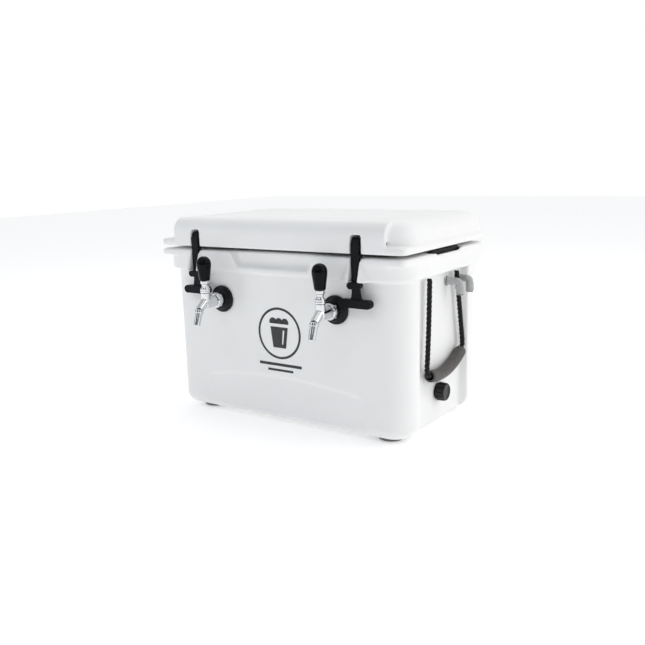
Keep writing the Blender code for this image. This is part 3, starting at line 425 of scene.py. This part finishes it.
def cone(start, end, radius, end_radius=None, segments=48):
    start, end = Vector(start), Vector(end)
    along = end - start
    bm = bmesh.new()
    bmesh.ops.create_cone(bm, cap_ends=True, segments=segments, radius1=radius,
                          radius2=radius if end_radius is None else end_radius,
                          depth=along.length)
    turn = Vector((0, 0, 1)).rotation_difference(along).to_matrix().to_4x4()
    bmesh.ops.transform(bm, matrix=Matrix.Translation((start + end) / 2) @ turn, verts=bm.verts)
    return keep_mesh(bm, "cone")


def ball(at, radius):
    bm = bmesh.new()
    bmesh.ops.create_uvsphere(bm, u_segments=32, v_segments=16, radius=radius)
    bmesh.ops.translate(bm, vec=at, verts=bm.verts)
    return keep_mesh(bm, "ball")


def soft_profile(points, reach=0.0006, steps=3, closed=False):
    """A profile whose corners are turned into small arcs."""
    points = [Vector((p[0], p[1])) for p in points]
    count = len(points)
    out = []
    for i, point in enumerate(points):
        if not closed and i in (0, count - 1):
            out.append(point)
            continue
        before, after = points[i - 1], points[(i + 1) % count]
        into, away = before - point, after - point
        straight = into.length < 1e-7 or away.length < 1e-7
        if straight or abs(into.angle(away) - math.pi) < math.radians(14):
            out.append(point)
            continue
        size = min(reach, into.length * 0.42, away.length * 0.42)
        start, end = point + into.normalized() * size, point + away.normalized() * size
        for k in range(steps + 1):
            t = k / steps
            out.append(start * (1 - t) ** 2 + point * 2 * t * (1 - t) + end * t * t)
    return out


def lathe(profile, at, along, steps=64, closed=False, reach=0.0006):
    """A turned mesh from (radius, height) pairs, from the top down the outer side."""
    points = soft_profile(profile, reach, closed=closed)
    rim = [Vector((max(p.x, 0.0), 0, p.y)) for p in points]
    turn = Vector((0, 0, 1)).rotation_difference(Vector(along)).to_matrix().to_4x4()
    place = Matrix.Translation(Vector(at)) @ turn
    bm = bmesh.new()
    rings = []
    for point in rim:
        if point.x < 1e-7:
            rings.append([bm.verts.new(place @ point)] * steps)
            continue
        rings.append([bm.verts.new(place @ Vector((point.x * math.cos(2 * math.pi * i / steps),
                                                   point.x * math.sin(2 * math.pi * i / steps),
                                                   point.z))) for i in range(steps)])
    pairs = list(zip(rings, rings[1:]))
    if closed:
        pairs.append((rings[-1], rings[0]))
    for a, b in pairs:
        for i in range(steps):
            j = (i + 1) % steps
            corners = []
            for vert in (a[i], a[j], b[j], b[i]):
                if vert not in corners:
                    corners.append(vert)
            if len(corners) > 2:
                bm.faces.new(corners)
    return keep_mesh(bm, "lathe")


def filled(outline, thick, at):
    """A flat outline in X and Z, or several loops, given a thickness along Y."""
    curve = bpy.data.curves.new("outline", "CURVE")
    curve.dimensions = "2D"
    curve.fill_mode = "BOTH"
    curve.extrude = thick / 2
    for loop in (outline if isinstance(outline[0][0], (tuple, list)) else [outline]):
        spline = curve.splines.new("POLY")
        spline.points.add(len(loop) - 1)
        for point, (x, y) in zip(spline.points, loop):
            point.co = (x, y, 0, 1)
        spline.use_cyclic_u = True
    mesh = baked(temp(curve))
    bm = bmesh.new()
    bm.from_mesh(mesh)
    bmesh.ops.remove_doubles(bm, verts=bm.verts, dist=1e-6)
    bmesh.ops.rotate(bm, verts=bm.verts, matrix=Matrix.Rotation(math.pi / 2, 3, "X"))
    bmesh.ops.translate(bm, verts=bm.verts, vec=at)
    return keep_mesh(bm, "filled")


def route(knots, spacing):
    """Points about that far apart on a smooth curve through the knots."""
    knots = [Vector(k) for k in knots]
    ends = [2 * knots[0] - knots[1]] + knots + [2 * knots[-1] - knots[-2]]
    fine = []
    for a, b, c, d in zip(ends, ends[1:], ends[2:], ends[3:]):
        for i in range(24):
            t = i / 24
            fine.append(0.5 * (2 * b + (c - a) * t + (2 * a - 5 * b + 4 * c - d) * t * t
                               + (3 * b - a - 3 * c + d) * t ** 3))
    fine.append(knots[-1])
    walked = [0.0]
    for a, b in zip(fine, fine[1:]):
        walked.append(walked[-1] + (b - a).length)
    count = max(2, round(walked[-1] / spacing))
    points, at = [], 0
    for i in range(count + 1):
        target = walked[-1] * i / count
        while at < len(fine) - 2 and walked[at + 1] < target:
            at += 1
        part = (target - walked[at]) / max(walked[at + 1] - walked[at], 1e-12)
        points.append(fine[at].lerp(fine[at + 1], min(part, 1.0)))
    return points


def frames_along(points):
    """(point, side, up) along a route, with as little twist as possible."""
    out = []
    side = None
    for i, point in enumerate(points):
        ahead = (points[min(i + 1, len(points) - 1)] - points[max(i - 1, 0)]).normalized()
        if side is None:
            side = ahead.orthogonal().normalized()
        side = (side - ahead * side.dot(ahead)).normalized()
        out.append((point, side, ahead.cross(side)))
    return out


def swept(bm, points, radius, sides):
    """Adds a tube along the points. radius is a number or a function of the part walked."""
    rings = []
    framed = frames_along(points)
    for i, (point, side, up) in enumerate(framed):
        size = radius(i / (len(framed) - 1)) if callable(radius) else radius
        rings.append([bm.verts.new(point + (side * math.cos(2 * math.pi * k / sides)
                                            + up * math.sin(2 * math.pi * k / sides)) * size)
                      for k in range(sides)])
    for a, b in zip(rings, rings[1:]):
        for k in range(sides):
            bm.faces.new((a[k], a[(k + 1) % sides], b[(k + 1) % sides], b[k]))
    bm.faces.new(rings[0][::-1])
    bm.faces.new(rings[-1])


def rope_mesh(points):
    """Twisted rope: strands wound round the middle line."""
    pitch, strands = 0.026, 3
    framed = frames_along(points)
    walked = [0.0]
    for a, b in zip(points, points[1:]):
        walked.append(walked[-1] + (b - a).length)
    bm = bmesh.new()
    strand_radius = ROPE_RADIUS / 2
    reach = ROPE_RADIUS - strand_radius
    for s in range(strands):
        line = []
        for (point, side, up), far in zip(framed, walked):
            angle = 2 * math.pi * (far / pitch + s / strands)
            line.append(point + (side * math.cos(angle) + up * math.sin(angle)) * reach)
        swept(bm, line, strand_radius, 10)
    return keep_mesh(bm, "rope")


# ---- tub ----
def recess_cut(side):
    bm = box((RECESS_WALL, -1, -0.05), (0.33, 1, 0.297))
    for vert in bm.verts:
        reach = RECESS_HALF if vert.co.x < 0.3 else RECESS_HALF + 0.030
        vert.co.y = math.copysign(reach, vert.co.y)
        vert.co.x *= side
    return keep_mesh(bm, "recess")


def keeper(side):
    bm = bmesh.new()
    bmesh.ops.create_cone(bm, cap_ends=True, segments=48, radius1=0.028, radius2=0.013,
                          depth=0.036)
    bmesh.ops.scale(bm, vec=(1, 0.60, 1), verts=bm.verts)
    bmesh.ops.translate(bm, vec=(side * LATCH_X, -0.172, 0.315), verts=bm.verts)
    return keep_mesh(bm, "keeper")


def pocket_cut():
    bm = box((-1, -0.20, 0.314), (1, -0.159, 0.36))
    for vert in bm.verts:
        vert.co.x = math.copysign(0.0825 if vert.co.z < 0.33 else 0.1065, vert.co.x)
        if vert.co.z < 0.33 and vert.co.y < -0.18:
            vert.co.z -= 0.016
    return keep_mesh(bm, "pocket")


def arch_cut():
    foot, shoulder, crown = (0.212, -0.03), (0.180, 0.084), 0.100
    outline = [(-foot[0], foot[1])]
    for i in range(33):
        x = -shoulder[0] + 2 * shoulder[0] * i / 32
        outline.append((x, crown - (crown - shoulder[1]) * (x / shoulder[0]) ** 2))
    outline.append(foot)
    return filled(outline, 0.010, (0, -TUB[1] - 0.005 + 0.0028, 0))


def knuckle(low, high, arm_low, arm_high):
    return [cone((low, HINGE_Y, HINGE_Z), (high, HINGE_Y, HINGE_Z), 0.0085),
            block((low, 0.160, arm_low), (high, HINGE_Y, arm_high))]


def make_tub():
    x, y = TUB
    shell = rounded((-x, -y, 0.010), (x, y, 0.307), 0.046, 0.036, 0.022)
    shell = combine(shell, cuts=[arch_cut()] + [recess_cut(side) for _, side in SIDES])
    lip = rounded((-0.279, -0.172, 0.297), (0.279, 0.172, 0.330), 0.052, 0.025, 0.004)
    ears = rounded((-LIP[0], -LIP[1], 0.3255), (LIP[0], LIP[1], 0.338), 0.012, 0.025, 0, 0.003)
    joins = [lip, ears] + [keeper(side) for _, side in SIDES]
    for _, side in SIDES:
        for end in (-1, 1):
            inner = side * KNUCKLE_X + end * 0.0226
            low, high = sorted((inner, inner + end * 0.030))
            joins += knuckle(low, high, 0.305, HINGE_Z - 0.004)
    cavity = rounded((-0.232, -0.122, 0.047), (0.232, 0.122, 0.36), 0.030, 0.030, 0.008)
    cuts = [cavity, pocket_cut()]
    for _, side in SIDES:
        cuts.append(block((side * LATCH_X - 0.0092, -0.22, 0.28),
                          (side * LATCH_X + 0.0092, -0.1665, 0.36)))
        low, high = sorted((side * (ROPE_X - 0.0065), side * (ROPE_X + 0.0062)))
        cuts.append(block((low, -ROPE_Y - 0.0062, 0.3315), (high, ROPE_Y + 0.0062, 0.36)))
        low, high = sorted((side * (ROPE_X + 0.004), side * 0.30))
        cuts.append(block((low, -0.050, 0.3335), (high, 0.050, 0.36)))
        cuts += [cone((side * ROPE_X, hole, 0.28), (side * ROPE_X, hole, 0.35), 0.0068)
                 for hole in (-ROPE_Y, ROPE_Y)]
    shell = melted(combine(shell, joins, cuts), 0.0023, 7)
    piece("tub_shell", shell, "white", "tub", "body_shell")
    make_mark()
    for row, y_side in (("front", -1), ("rear", 1)):
        for word, side in SIDES:
            foot = lathe([(0, 0), (0.0225, 0), (0.0239, -0.0018), (0.0239, -0.0080),
                          (0.0225, -0.0096), (0.012, -0.0096), (0.0105, -0.0086),
                          (0, -0.0086)], (side * FOOT_X, y_side * FOOT_Y, 0.0097), (0, 0, 1),
                         reach=0.0012)
            piece(f"{row}_{word}_pad", foot, "foot", "tub", f"{row}_{word}_foot")
    plug = lathe([(0, 0.0028), (0.0092, 0.0028), (0.0104, 0.0015), (0.0104, 0), (0.0078, 0),
                  (0.0078, -0.005), (0, -0.005)], (0, TUB[1] + 0.0003, 0.20), (0, 1, 0))
    piece("tub_plug", plug, "white", "tub", "body_fill_plug")


def arc(radius, start, end, steps, centre=(0, 0)):
    return [(centre[0] + radius * math.cos(math.radians(start + (end - start) * i / steps)),
             centre[1] + radius * math.sin(math.radians(start + (end - start) * i / steps)))
            for i in range(steps + 1)]


def make_mark():
    """A plain printed pictogram of a filled glass in a ring, over two bars."""
    centre = (0.003, 0.185)
    ring = [arc(0.050, 0, 360, 96)[:-1], arc(0.0455, 360, 0, 96)[:-1]]
    glass = [[(-0.0150, -0.028), (0.0150, -0.028), (0.0205, 0.0125), (-0.0205, 0.0125)],
             [(0.0085, -0.021), (0.0125, 0.0065), (0.0085, 0.0065), (0.0055, -0.021)][::-1]]
    foam = [arc(0.0085, 200, -20, 16, (x, 0.0215)) for x in (-0.0140, 0.0, 0.0140)]
    bars = [[(-0.050, -0.0640), (0.050, -0.0640), (0.050, -0.0585), (-0.050, -0.0585)],
            [(-0.030, -0.0745), (0.030, -0.0745), (0.030, -0.0700), (-0.030, -0.0700)]]
    at = (centre[0], -TUB[1] - 0.00012, centre[1])
    for name, loops in (("ring", ring), ("glass", glass), ("upper_bar", bars[:1]),
                        ("lower_bar", bars[1:])):
        piece(f"printed_{name}", filled(loops, 0.0002, at), "print", "tub", smooth_angle=30)
    for i, loop in enumerate(foam):
        piece(f"printed_froth_{i}", filled(loop, 0.0002, at), "print", "tub", smooth_angle=30)


# ---- lid ----
def make_lid():
    x, y = LIP
    shell = rounded((-x, -y, 0.345), (x, y, 0.358), 0.012, 0.025, 0.002, 0.004)
    caps = rounded((-0.276, -0.166, 0.350), (0.276, 0.168, 0.398), 0.055, 0.030, 0, 0.028,
                   segments=18, edge_segments=14)
    bm = box((-0.242, -0.1735, 0.3455), (0.242, 0.1715, 0.3996))
    for edge_y in (-0.1735, 0.1715):
        bevel(bm, [e for e in bm.edges if all(abs(v.co.z - 0.3996) < 1e-6
                                              and abs(v.co.y - edge_y) < 1e-6
                                              for v in e.verts)], 0.028, 14)
    crest = keep_mesh(bm, "crest")
    plug = rounded((-0.223, -0.113, 0.328), (0.223, 0.113, 0.348), 0.024, 0.024, 0.005)
    joins = [caps, crest, plug]
    for _, side in SIDES:
        middle = side * KNUCKLE_X
        joins += knuckle(middle - 0.022, middle + 0.022, 0.3458, HINGE_Z + 0.008)
    cuts = []
    for _, side in SIDES:
        cuts.append(block((side * LATCH_X - 0.0105, -0.20, 0.33),
                          (side * LATCH_X + 0.0105, -0.1515, 0.3775)))
        cuts.append(cone((side * 0.2435, LATCH_PIN_Y, LATCH_PIN_Z),
                         (side * 0.262, LATCH_PIN_Y, LATCH_PIN_Z), 0.0038))
        cuts.append(cone((side * 0.158, LATCH_PIN_Y, LATCH_PIN_Z),
                         (side * 0.250, LATCH_PIN_Y, LATCH_PIN_Z), 0.0036))
    shell = melted(combine(shell, joins, cuts), 0.0022, 5)
    piece("lid_cover", shell, "white", "lid", "lid_shell")
    make_ruler()


def make_ruler():
    """A row of raised tick marks along the lid's front, every ten millimetres."""
    bm = bmesh.new()
    for i in range(35):
        x = -0.118 + i * 0.010
        length = 0.014 if i % 5 == 0 else 0.008
        tick = bmesh.ops.create_cube(bm, size=1.0)["verts"]
        bmesh.ops.scale(bm, vec=(0.0011, length, 0.0008), verts=tick)
        bmesh.ops.translate(bm, vec=(x, -0.120 + length / 2, 0.3995), verts=tick)
    piece("lid_ruler", keep_mesh(bm, "ruler"), "white", "lid", smooth_angle=30)


# ---- latches ----
def capsule(half, radius, steps=12):
    return ([(half + radius * math.cos(a), radius * math.sin(a))
             for a in (math.pi * (i / steps - 0.5) for i in range(steps + 1))]
            + [(-half - radius * math.cos(a), -radius * math.sin(a))
               for a in (math.pi * (i / steps - 0.5) for i in range(steps + 1))])


def make_latch(word, side):
    x = side * LATCH_X
    half = [(0.0083, 0.000), (0.0083, -0.020), (0.0075, -0.055), (0.0072, -0.084),
            (0.0085, -0.092), (0.0130, -0.1005)]
    outline = [(-w, z) for w, z in half] + [(w, z) for w, z in reversed(half)]
    strap = filled(outline, 0.0072, (x, -0.1715, LATCH_PIN_Z))
    joins = [cone((x - 0.0086, LATCH_PIN_Y, LATCH_PIN_Z), (x + 0.0086, LATCH_PIN_Y, LATCH_PIN_Z),
                  0.0099),
             filled(capsule(0.0072, 0.0062), 0.0120, (x, -0.1765, 0.2915)),
             filled(capsule(0.0246, 0.0077), 0.0118, (x, -0.1725, 0.2592)),
             cone((x, -0.1715, 0.3415), (x + 0.0125, -0.1715, 0.3415), 0.0027)]
    mesh = melted(combine(strap, joins), 0.0007, 4)
    piece(f"{word}_latch_strap", mesh, "rubber", f"{word}_latch_strap", f"{word}_latch")


# ---- taps ----
def make_tap(word, side):
    x = side * TAP_X
    front = -TUB[1]
    toward = (0, -1, 0)
    flange = lathe([(0.0116, 0.0124), (0.0182, 0.0124), (0.0200, 0.0108), (0.0204, 0.0072),
                    (0.0222, 0.0066), (0.0250, 0.0060), (0.0264, 0.0046), (0.0264, 0.0004),
                    (0.0116, 0.0004)], (x, front, TAP_Z), toward, closed=True, reach=0.001)
    piece(f"{word}_flange", flange, "satin_black", "tub", f"{word}_wall_flange",
          smooth_angle=50)
    coupling = lathe([(0.0096, 0.0279), (0.0132, 0.0279), (0.0142, 0.0268), (0.0149, 0.0252),
                      (0.0152, 0.0240), (0.0152, 0.0150), (0.0147, 0.0137), (0.0136, 0.0131),
                      (0.0114, 0.0131), (0.0114, 0.0220), (0.0096, 0.0220)],
                     (x, front, TAP_Z), toward, closed=True, reach=0.0008)
    notches = []
    for i in range(4):
        angle = math.pi * (0.25 + 0.5 * i)
        at = Vector((x + 0.0160 * math.cos(angle), 0, TAP_Z + 0.0160 * math.sin(angle)))
        notches.append(cone(at + Vector((0, front - 0.0170, 0)), at + Vector((0, front - 0.0225, 0)),
                            0.0024, segments=24))
    piece(f"{word}_coupling_ring", combine(coupling, cuts=notches), "chrome", "tub",
          f"{word}_coupling_nut", smooth_angle=40)
    make_tap_body(word, x, front)
    make_lever(word, x)


def make_tap_body(word, x, front):
    start = front - 0.0153
    barrel = lathe([(0, 0), (0.0108, 0), (0.0108, -0.0060), (0.0095, -0.0064), (0.0095, -0.0125),
                    (0.0118, -0.0133), (0.0120, -0.0160), (0.0117, -0.0225), (0.0106, -0.0310),
                    (0.0098, -0.0350), (0, -0.0350)],
                   (x, start, TAP_Z), (0, 1, 0))
    joins = [cone((x, BARREL_Y, 0.2340), (x, BARREL_Y, 0.2609), 0.0089, 0.0088),
             ball((x, BARREL_Y, TAP_Z - 0.0005), 0.0104),
             cone((x, BARREL_Y + 0.003, 0.2480), (x, -0.2262, 0.2310), 0.0089, 0.0081)]
    seat = Vector((x, *SPOUT_TOP))
    cuts = [cone(seat - LEAN * 0.0003, seat + LEAN * 0.04, 0.013),
            cone((x, BARREL_Y, 0.2450), (x, BARREL_Y, 0.28), 0.0060),
            cone((x, BARREL_Y, PIVOT_Z), (x, BARREL_Y + 0.0087, 0.2441), 0.0027)]
    body = combine(melted(merged([barrel, *joins]), 0.00045, 6), cuts=cuts)
    piece(f"{word}_faucet", body, "chrome", "tub", f"{word}_tap_body", smooth_angle=50)
    spout = lathe([(0.0042, 0.0), (0.0076, 0.0), (0.0082, 0.0007), (0.0083, 0.0050),
                   (0.0081, 0.0062), (0.0074, 0.0068), (0.0073, 0.0080), (0.0064, 0.0305),
                   (0.0061, 0.0310), (0.0052, 0.0310), (0.0050, 0.0300), (0.0042, 0.0250)][::-1],
                  seat, LEAN, closed=True, reach=0.0005)
    piece(f"{word}_nozzle", spout, "chrome", "tub", f"{word}_spout", smooth_angle=50)
    bonnet = lathe([(0.0088, 0.0015), (0.0095, 0.0014), (0.0099, 0.0006), (0.0099, -0.0008),
                    (0.0094, -0.0017), (0.0094, -0.0023), (0.0099, -0.0032), (0.0099, -0.0052),
                    (0.0094, -0.0066), (0.0070, -0.0066), (0.0088, -0.0002)],
                   (x, BARREL_Y, PIVOT_Z), (0, 0, 1), closed=True, reach=0.0004)
    piece(f"{word}_collar", bonnet, "chrome", "tub", f"{word}_bonnet", smooth_angle=50)


def make_lever(word, x):
    body = f"{word}_tap_lever"
    at = (x, BARREL_Y, PIVOT_Z)
    globe = [(0.0083 * math.cos(math.radians(a)), 0.0083 * math.sin(math.radians(a)))
             for a in range(44, -55, -7)]
    stem = lathe([(0, 0.0169), (0.0080, 0.0169), (0.0086, 0.0163), (0.0086, 0.0112),
                  (0.0074, 0.0100), (0.0066, 0.0092)] + globe
                 + [(0.0020, -0.0080), (0.0020, -0.0226), (0, -0.0226)], at, (0, 0, 1),
                 reach=0.0004)
    piece(f"{word}_lever_stem", stem, "chrome", body, f"{word}_lever", smooth_angle=50)
    knob = lathe([(0, 0.0634), (0.0036, 0.0630), (0.0072, 0.0616), (0.0104, 0.0590),
                  (0.0127, 0.0553), (0.0138, 0.0510), (0.0139, 0.0468), (0.0134, 0.0415),
                  (0.0124, 0.0350), (0.0114, 0.0280), (0.0107, 0.0225), (0.0104, 0.0195),
                  (0.0098, 0.0177), (0.0090, 0.0173), (0, 0.0173)], at, (0, 0, 1), reach=0.0008)
    piece(f"{word}_knob", knob, "gloss_black", body, f"{word}_tap_handle")


# ---- end fittings ----
def make_elbow(word, y):
    wall = RECESS_WALL
    bend = 0.0075
    line = [(wall + 0.0033, y, INLET_Z), (wall + 0.012, y, INLET_Z), (ELBOW_X - bend, y, INLET_Z)]
    for i in range(1, 8):
        angle = math.pi / 2 * i / 8
        line.append((ELBOW_X - bend + bend * math.sin(angle), y,
                     INLET_Z - bend + bend * math.cos(angle)))
    line += [(ELBOW_X, y, INLET_Z - bend), (ELBOW_X, y, INLET_Z - 0.0238)]
    bm = bmesh.new()
    swept(bm, [Vector(p) for p in line], 0.0068, 40)
    tube = keep_mesh(bm, "elbow")
    joins = [cone((ELBOW_X, y, INLET_Z - 0.0075), (ELBOW_X, y, INLET_Z - 0.0236), 0.0070),
             cone((wall + 0.0034, y, INLET_Z), (wall + 0.0120, y, INLET_Z), 0.0068)]
    cuts = [cone((ELBOW_X, y, INLET_Z - 0.010), (ELBOW_X, y, INLET_Z - 0.03), 0.0052)]
    elbow = melted(combine(tube, joins, cuts), 0.0005, 3)
    piece(f"{word}_elbow", elbow, "grey", f"{word}_elbow_turn", f"{word}_inlet_elbow")
    make_rings(word, "down", (ELBOW_X, y, INLET_Z), (0, 0, -1), 0.0080, 5)
    make_rings(word, "wall", (wall, y, INLET_Z), (1, 0, 0), 0.0036, 3)
    collet = lathe([(0.0041, -0.0140), (0.0051, -0.0140), (0.0051, -0.0238), (0.0068, -0.0242),
                    (0.0068, -0.0254), (0.0041, -0.0254)], (ELBOW_X, y, INLET_Z), (0, 0, 1),
                   closed=True, reach=0.0004)
    piece(f"{word}_collet", collet, "collet", f"{word}_elbow_turn", smooth_angle=50)


def make_rings(word, end, place, along, start, count):
    """A sleeve with grip rings round one leg of an elbow."""
    step = 0.0030
    profile = [(0.0062, start + step * count)]
    for i in range(count, 0, -1):
        base = start + step * (i - 1)
        profile += [(0.0076, base + step), (0.0077, base + 0.0012), (0.0071, base + 0.0008)]
    profile += [(0.0062, start)]
    rings = lathe(profile, place, along, closed=True, reach=0.0003)
    piece(f"{word}_elbow_rings_{end}", rings, "grey", f"{word}_elbow_turn", smooth_angle=50)


def make_cap():
    cap = lathe([(0, 0.0190), (0.0105, 0.0190), (0.0118, 0.0203), (0.0150, 0.0204),
                 (0.0164, 0.0192), (0.0172, 0.0160), (0.0179, 0.0050), (0.0176, 0.0041),
                 (0.0113, 0.0041), (0.0113, 0.0152), (0, 0.0152)],
                (RECESS_WALL, 0, DRAIN_Z), (1, 0, 0), steps=96, reach=0.0008)
    notches = []
    for i in range(12):
        angle = 2 * math.pi * (i + 0.5) / 12
        y, z = 0.0187 * math.cos(angle), DRAIN_Z + 0.0187 * math.sin(angle)
        notches.append(cone((RECESS_WALL + 0.0052, y, z), (RECESS_WALL + 0.03, y, z), 0.0033,
                            segments=20))
    piece("drain_knob", combine(cap, cuts=notches), "cap_black", "drain_cap_turn", "drain_cap",
          smooth_angle=40)


# ---- rope handles ----
def rope_knots(side):
    x = side * ROPE_X
    front_leg = [(x, -0.057, SWING_Z), (x, -0.0585, 0.250), (x, -0.0610, 0.200),
                 (x, -0.0650, 0.150), (x, -0.0672, 0.130), (x, -0.0640, 0.1170)]
    inside = [(x, -0.0500, 0.1105), (x, -0.025, 0.1078), (x, 0.012, 0.1086), (x, 0.050, 0.1183),
              (x, 0.0740, 0.1300)]
    rear_leg = [(x, 0.0845, 0.1385), (x, 0.0868, 0.1490), (x, 0.0805, 0.180),
                (x, 0.0722, 0.220), (x, 0.0630, 0.262), (x, 0.057, SWING_Z)]
    return front_leg + inside + rear_leg


def make_ropes():
    """The cords: a rope through each grip, and the length of it that lies in the lip."""
    for word, side in SIDES:
        points = route(rope_knots(side), 0.0030)
        swing = piece(f"{word}_rope", rope_mesh(points), "rope", f"{word}_carry_handle",
                      f"{word}_handle_rope")
        grip = make_grip(word, side)
        x = side * ROPE_X
        bend, top = 0.0055, 0.3371
        arch = [(x, -ROPE_Y, 0.2986 + 0.0056 * i) for i in range(6)]
        arch += [(x, -ROPE_Y + bend * (1 - math.cos(a)), top - bend + bend * math.sin(a))
                 for a in (math.pi / 2 * i / 6 for i in range(7))]
        arch += [(x, -ROPE_Y + bend + (ROPE_Y - bend) * 2 * i / 24, top) for i in range(1, 24)]
        arch += [(x, ROPE_Y - bend * (1 - math.sin(a)), top - bend + bend * math.cos(a))
                 for a in (math.pi / 2 * i / 6 for i in range(7))]
        arch += [(x, ROPE_Y, 0.2986 + 0.0056 * (5 - i)) for i in range(6)]
        mesh = rope_mesh(route(arch, 0.0030))
        piece(f"{word}_lip_rope", mesh, "rope", "tub", f"{word}_rope_bridge")


def make_grip(word, side):
    x = side * ROPE_X
    knots = [(x, -0.056, 0.1115), (x, -0.025, 0.1070), (x, 0.012, 0.1078), (x, 0.050, 0.1175),
             (x, 0.080, 0.1320)]
    line = route(knots, 0.0020)
    bm = bmesh.new()

    def swell(part):
        near = min(part, 1 - part)
        ease = min(1.0, near / 0.045)
        return 0.0104 + 0.0010 * math.sqrt(max(0.0, 1 - (1 - ease) ** 2))

    swept(bm, line, swell, 48)
    first, last = line[0] - line[1], line[-1] - line[-2]
    hollow = bmesh.new()
    swept(hollow, [line[0] + first] + line + [line[-1] + last], 0.0074, 32)
    mesh = combine(keep_mesh(bm, "grip"), cuts=[keep_mesh(hollow, "hollow")])
    return piece(f"{word}_grip", mesh, "grip", f"{word}_carry_handle", f"{word}_handle_grip",
                 smooth_angle=45)


# ---- coils and the tubes that feed them ----
def coil_point(x, degrees, z):
    angle = math.radians(degrees)
    return Vector((x + COIL_RADIUS * math.cos(angle), COIL_Y + COIL_RADIUS * math.sin(angle), z))


def make_coil(word, side):
    x = side * COIL_X
    steps = 48
    helix = [coil_point(x, COIL_START + 360 * i / steps, COIL_BOTTOM + COIL_PITCH * i / steps)
             for i in range(round(COIL_TURNS * steps) + 1)]
    top, end_z = helix[-1].z, TAP_Z - CONNECTOR_DROP
    bend = [helix[-1], coil_point(x, 250 + 8 * side, top + 0.002),
            coil_point(x, 262 + 8 * side, top + 0.007), (side * TAP_X, CONNECTOR_Y, end_z - 0.008),
            (side * TAP_X, CONNECTOR_Y, end_z)]
    bm = bmesh.new()
    swept(bm, helix[:-1] + route(bend, 0.004), TUBE_RADIUS, 14)
    piece(f"{word}_cooling_coil", keep_mesh(bm, "coil"), "stainless", "tub", f"{word}_coil")
    make_inlet_tube(word, side, helix[0])


def make_inlet_tube(word, side, lower):
    """The clear plastic tube from a wall fitting down to the coil's lower end."""
    down = side * COIL_X + 0.089
    y = INLET_Y[1] if side > 0 else INLET_Y[0]
    knots = [(0.2140, y, INLET_Z)]
    if side > 0:
        knots += [(0.2100, y, 0.2749), (0.2062, 0.0855, 0.268), (down, 0.098, 0.245)]
    else:
        knots += [(0.2085, 0.0362, 0.275), (0.198, 0.044, 0.275), (0.184, 0.070, 0.272),
                  (0.150, 0.097, 0.267), (0.080, 0.108, 0.263), (0.020, 0.108, 0.258),
                  (-0.016, 0.104, 0.242), (down, 0.101, 0.215)]
    knots += [(down, 0.101, 0.150), (down, 0.099, 0.082), (down - 0.0050, 0.0935, 0.0632),
              lower + Vector((0.0282, -0.0103, 0.0002)), lower + Vector((0.0012, -0.0004, 0))]
    bm = bmesh.new()
    swept(bm, route(knots, 0.004), TUBE_RADIUS, 20)
    piece(f"{word}_feed_tube", keep_mesh(bm, "feed"), "clear", "tub", f"{word}_inlet_tube")


# ---- what is left of the frame keeps its shape and gets a finish ----
def finish_frame():
    slots = {"white_shell": "white", "insulation": "foam", "black_rubber": "rubber",
             "black_plastic": "satin_black", "grey_plastic": "grey", "dark_grip": "grip",
             "black_rope": "rope", "chrome": "chrome", "stainless": "stainless",
             "brass": "brass", "gasket_foam": "gasket", "foot_rubber": "foot",
             "clear_tube": "clear"}
    for part in frame["record"]["subparts"]:
        node = frame["nodes"][part["node"]]
        for slot in node.material_slots:
            slot.material = MATERIALS[slots[part["material_slot"]]]


make_materials()
make_camera()
make_ropes()
make_studio()
make_tub()
make_lid()
for side_word, side_sign in SIDES:
    make_latch(side_word, side_sign)
    make_tap(side_word, side_sign)
    make_coil(side_word, side_sign)
for inlet_word, inlet_y in zip(("front", "rear"), INLET_Y):
    make_elbow(inlet_word, inlet_y)
make_cap()
finish_frame()
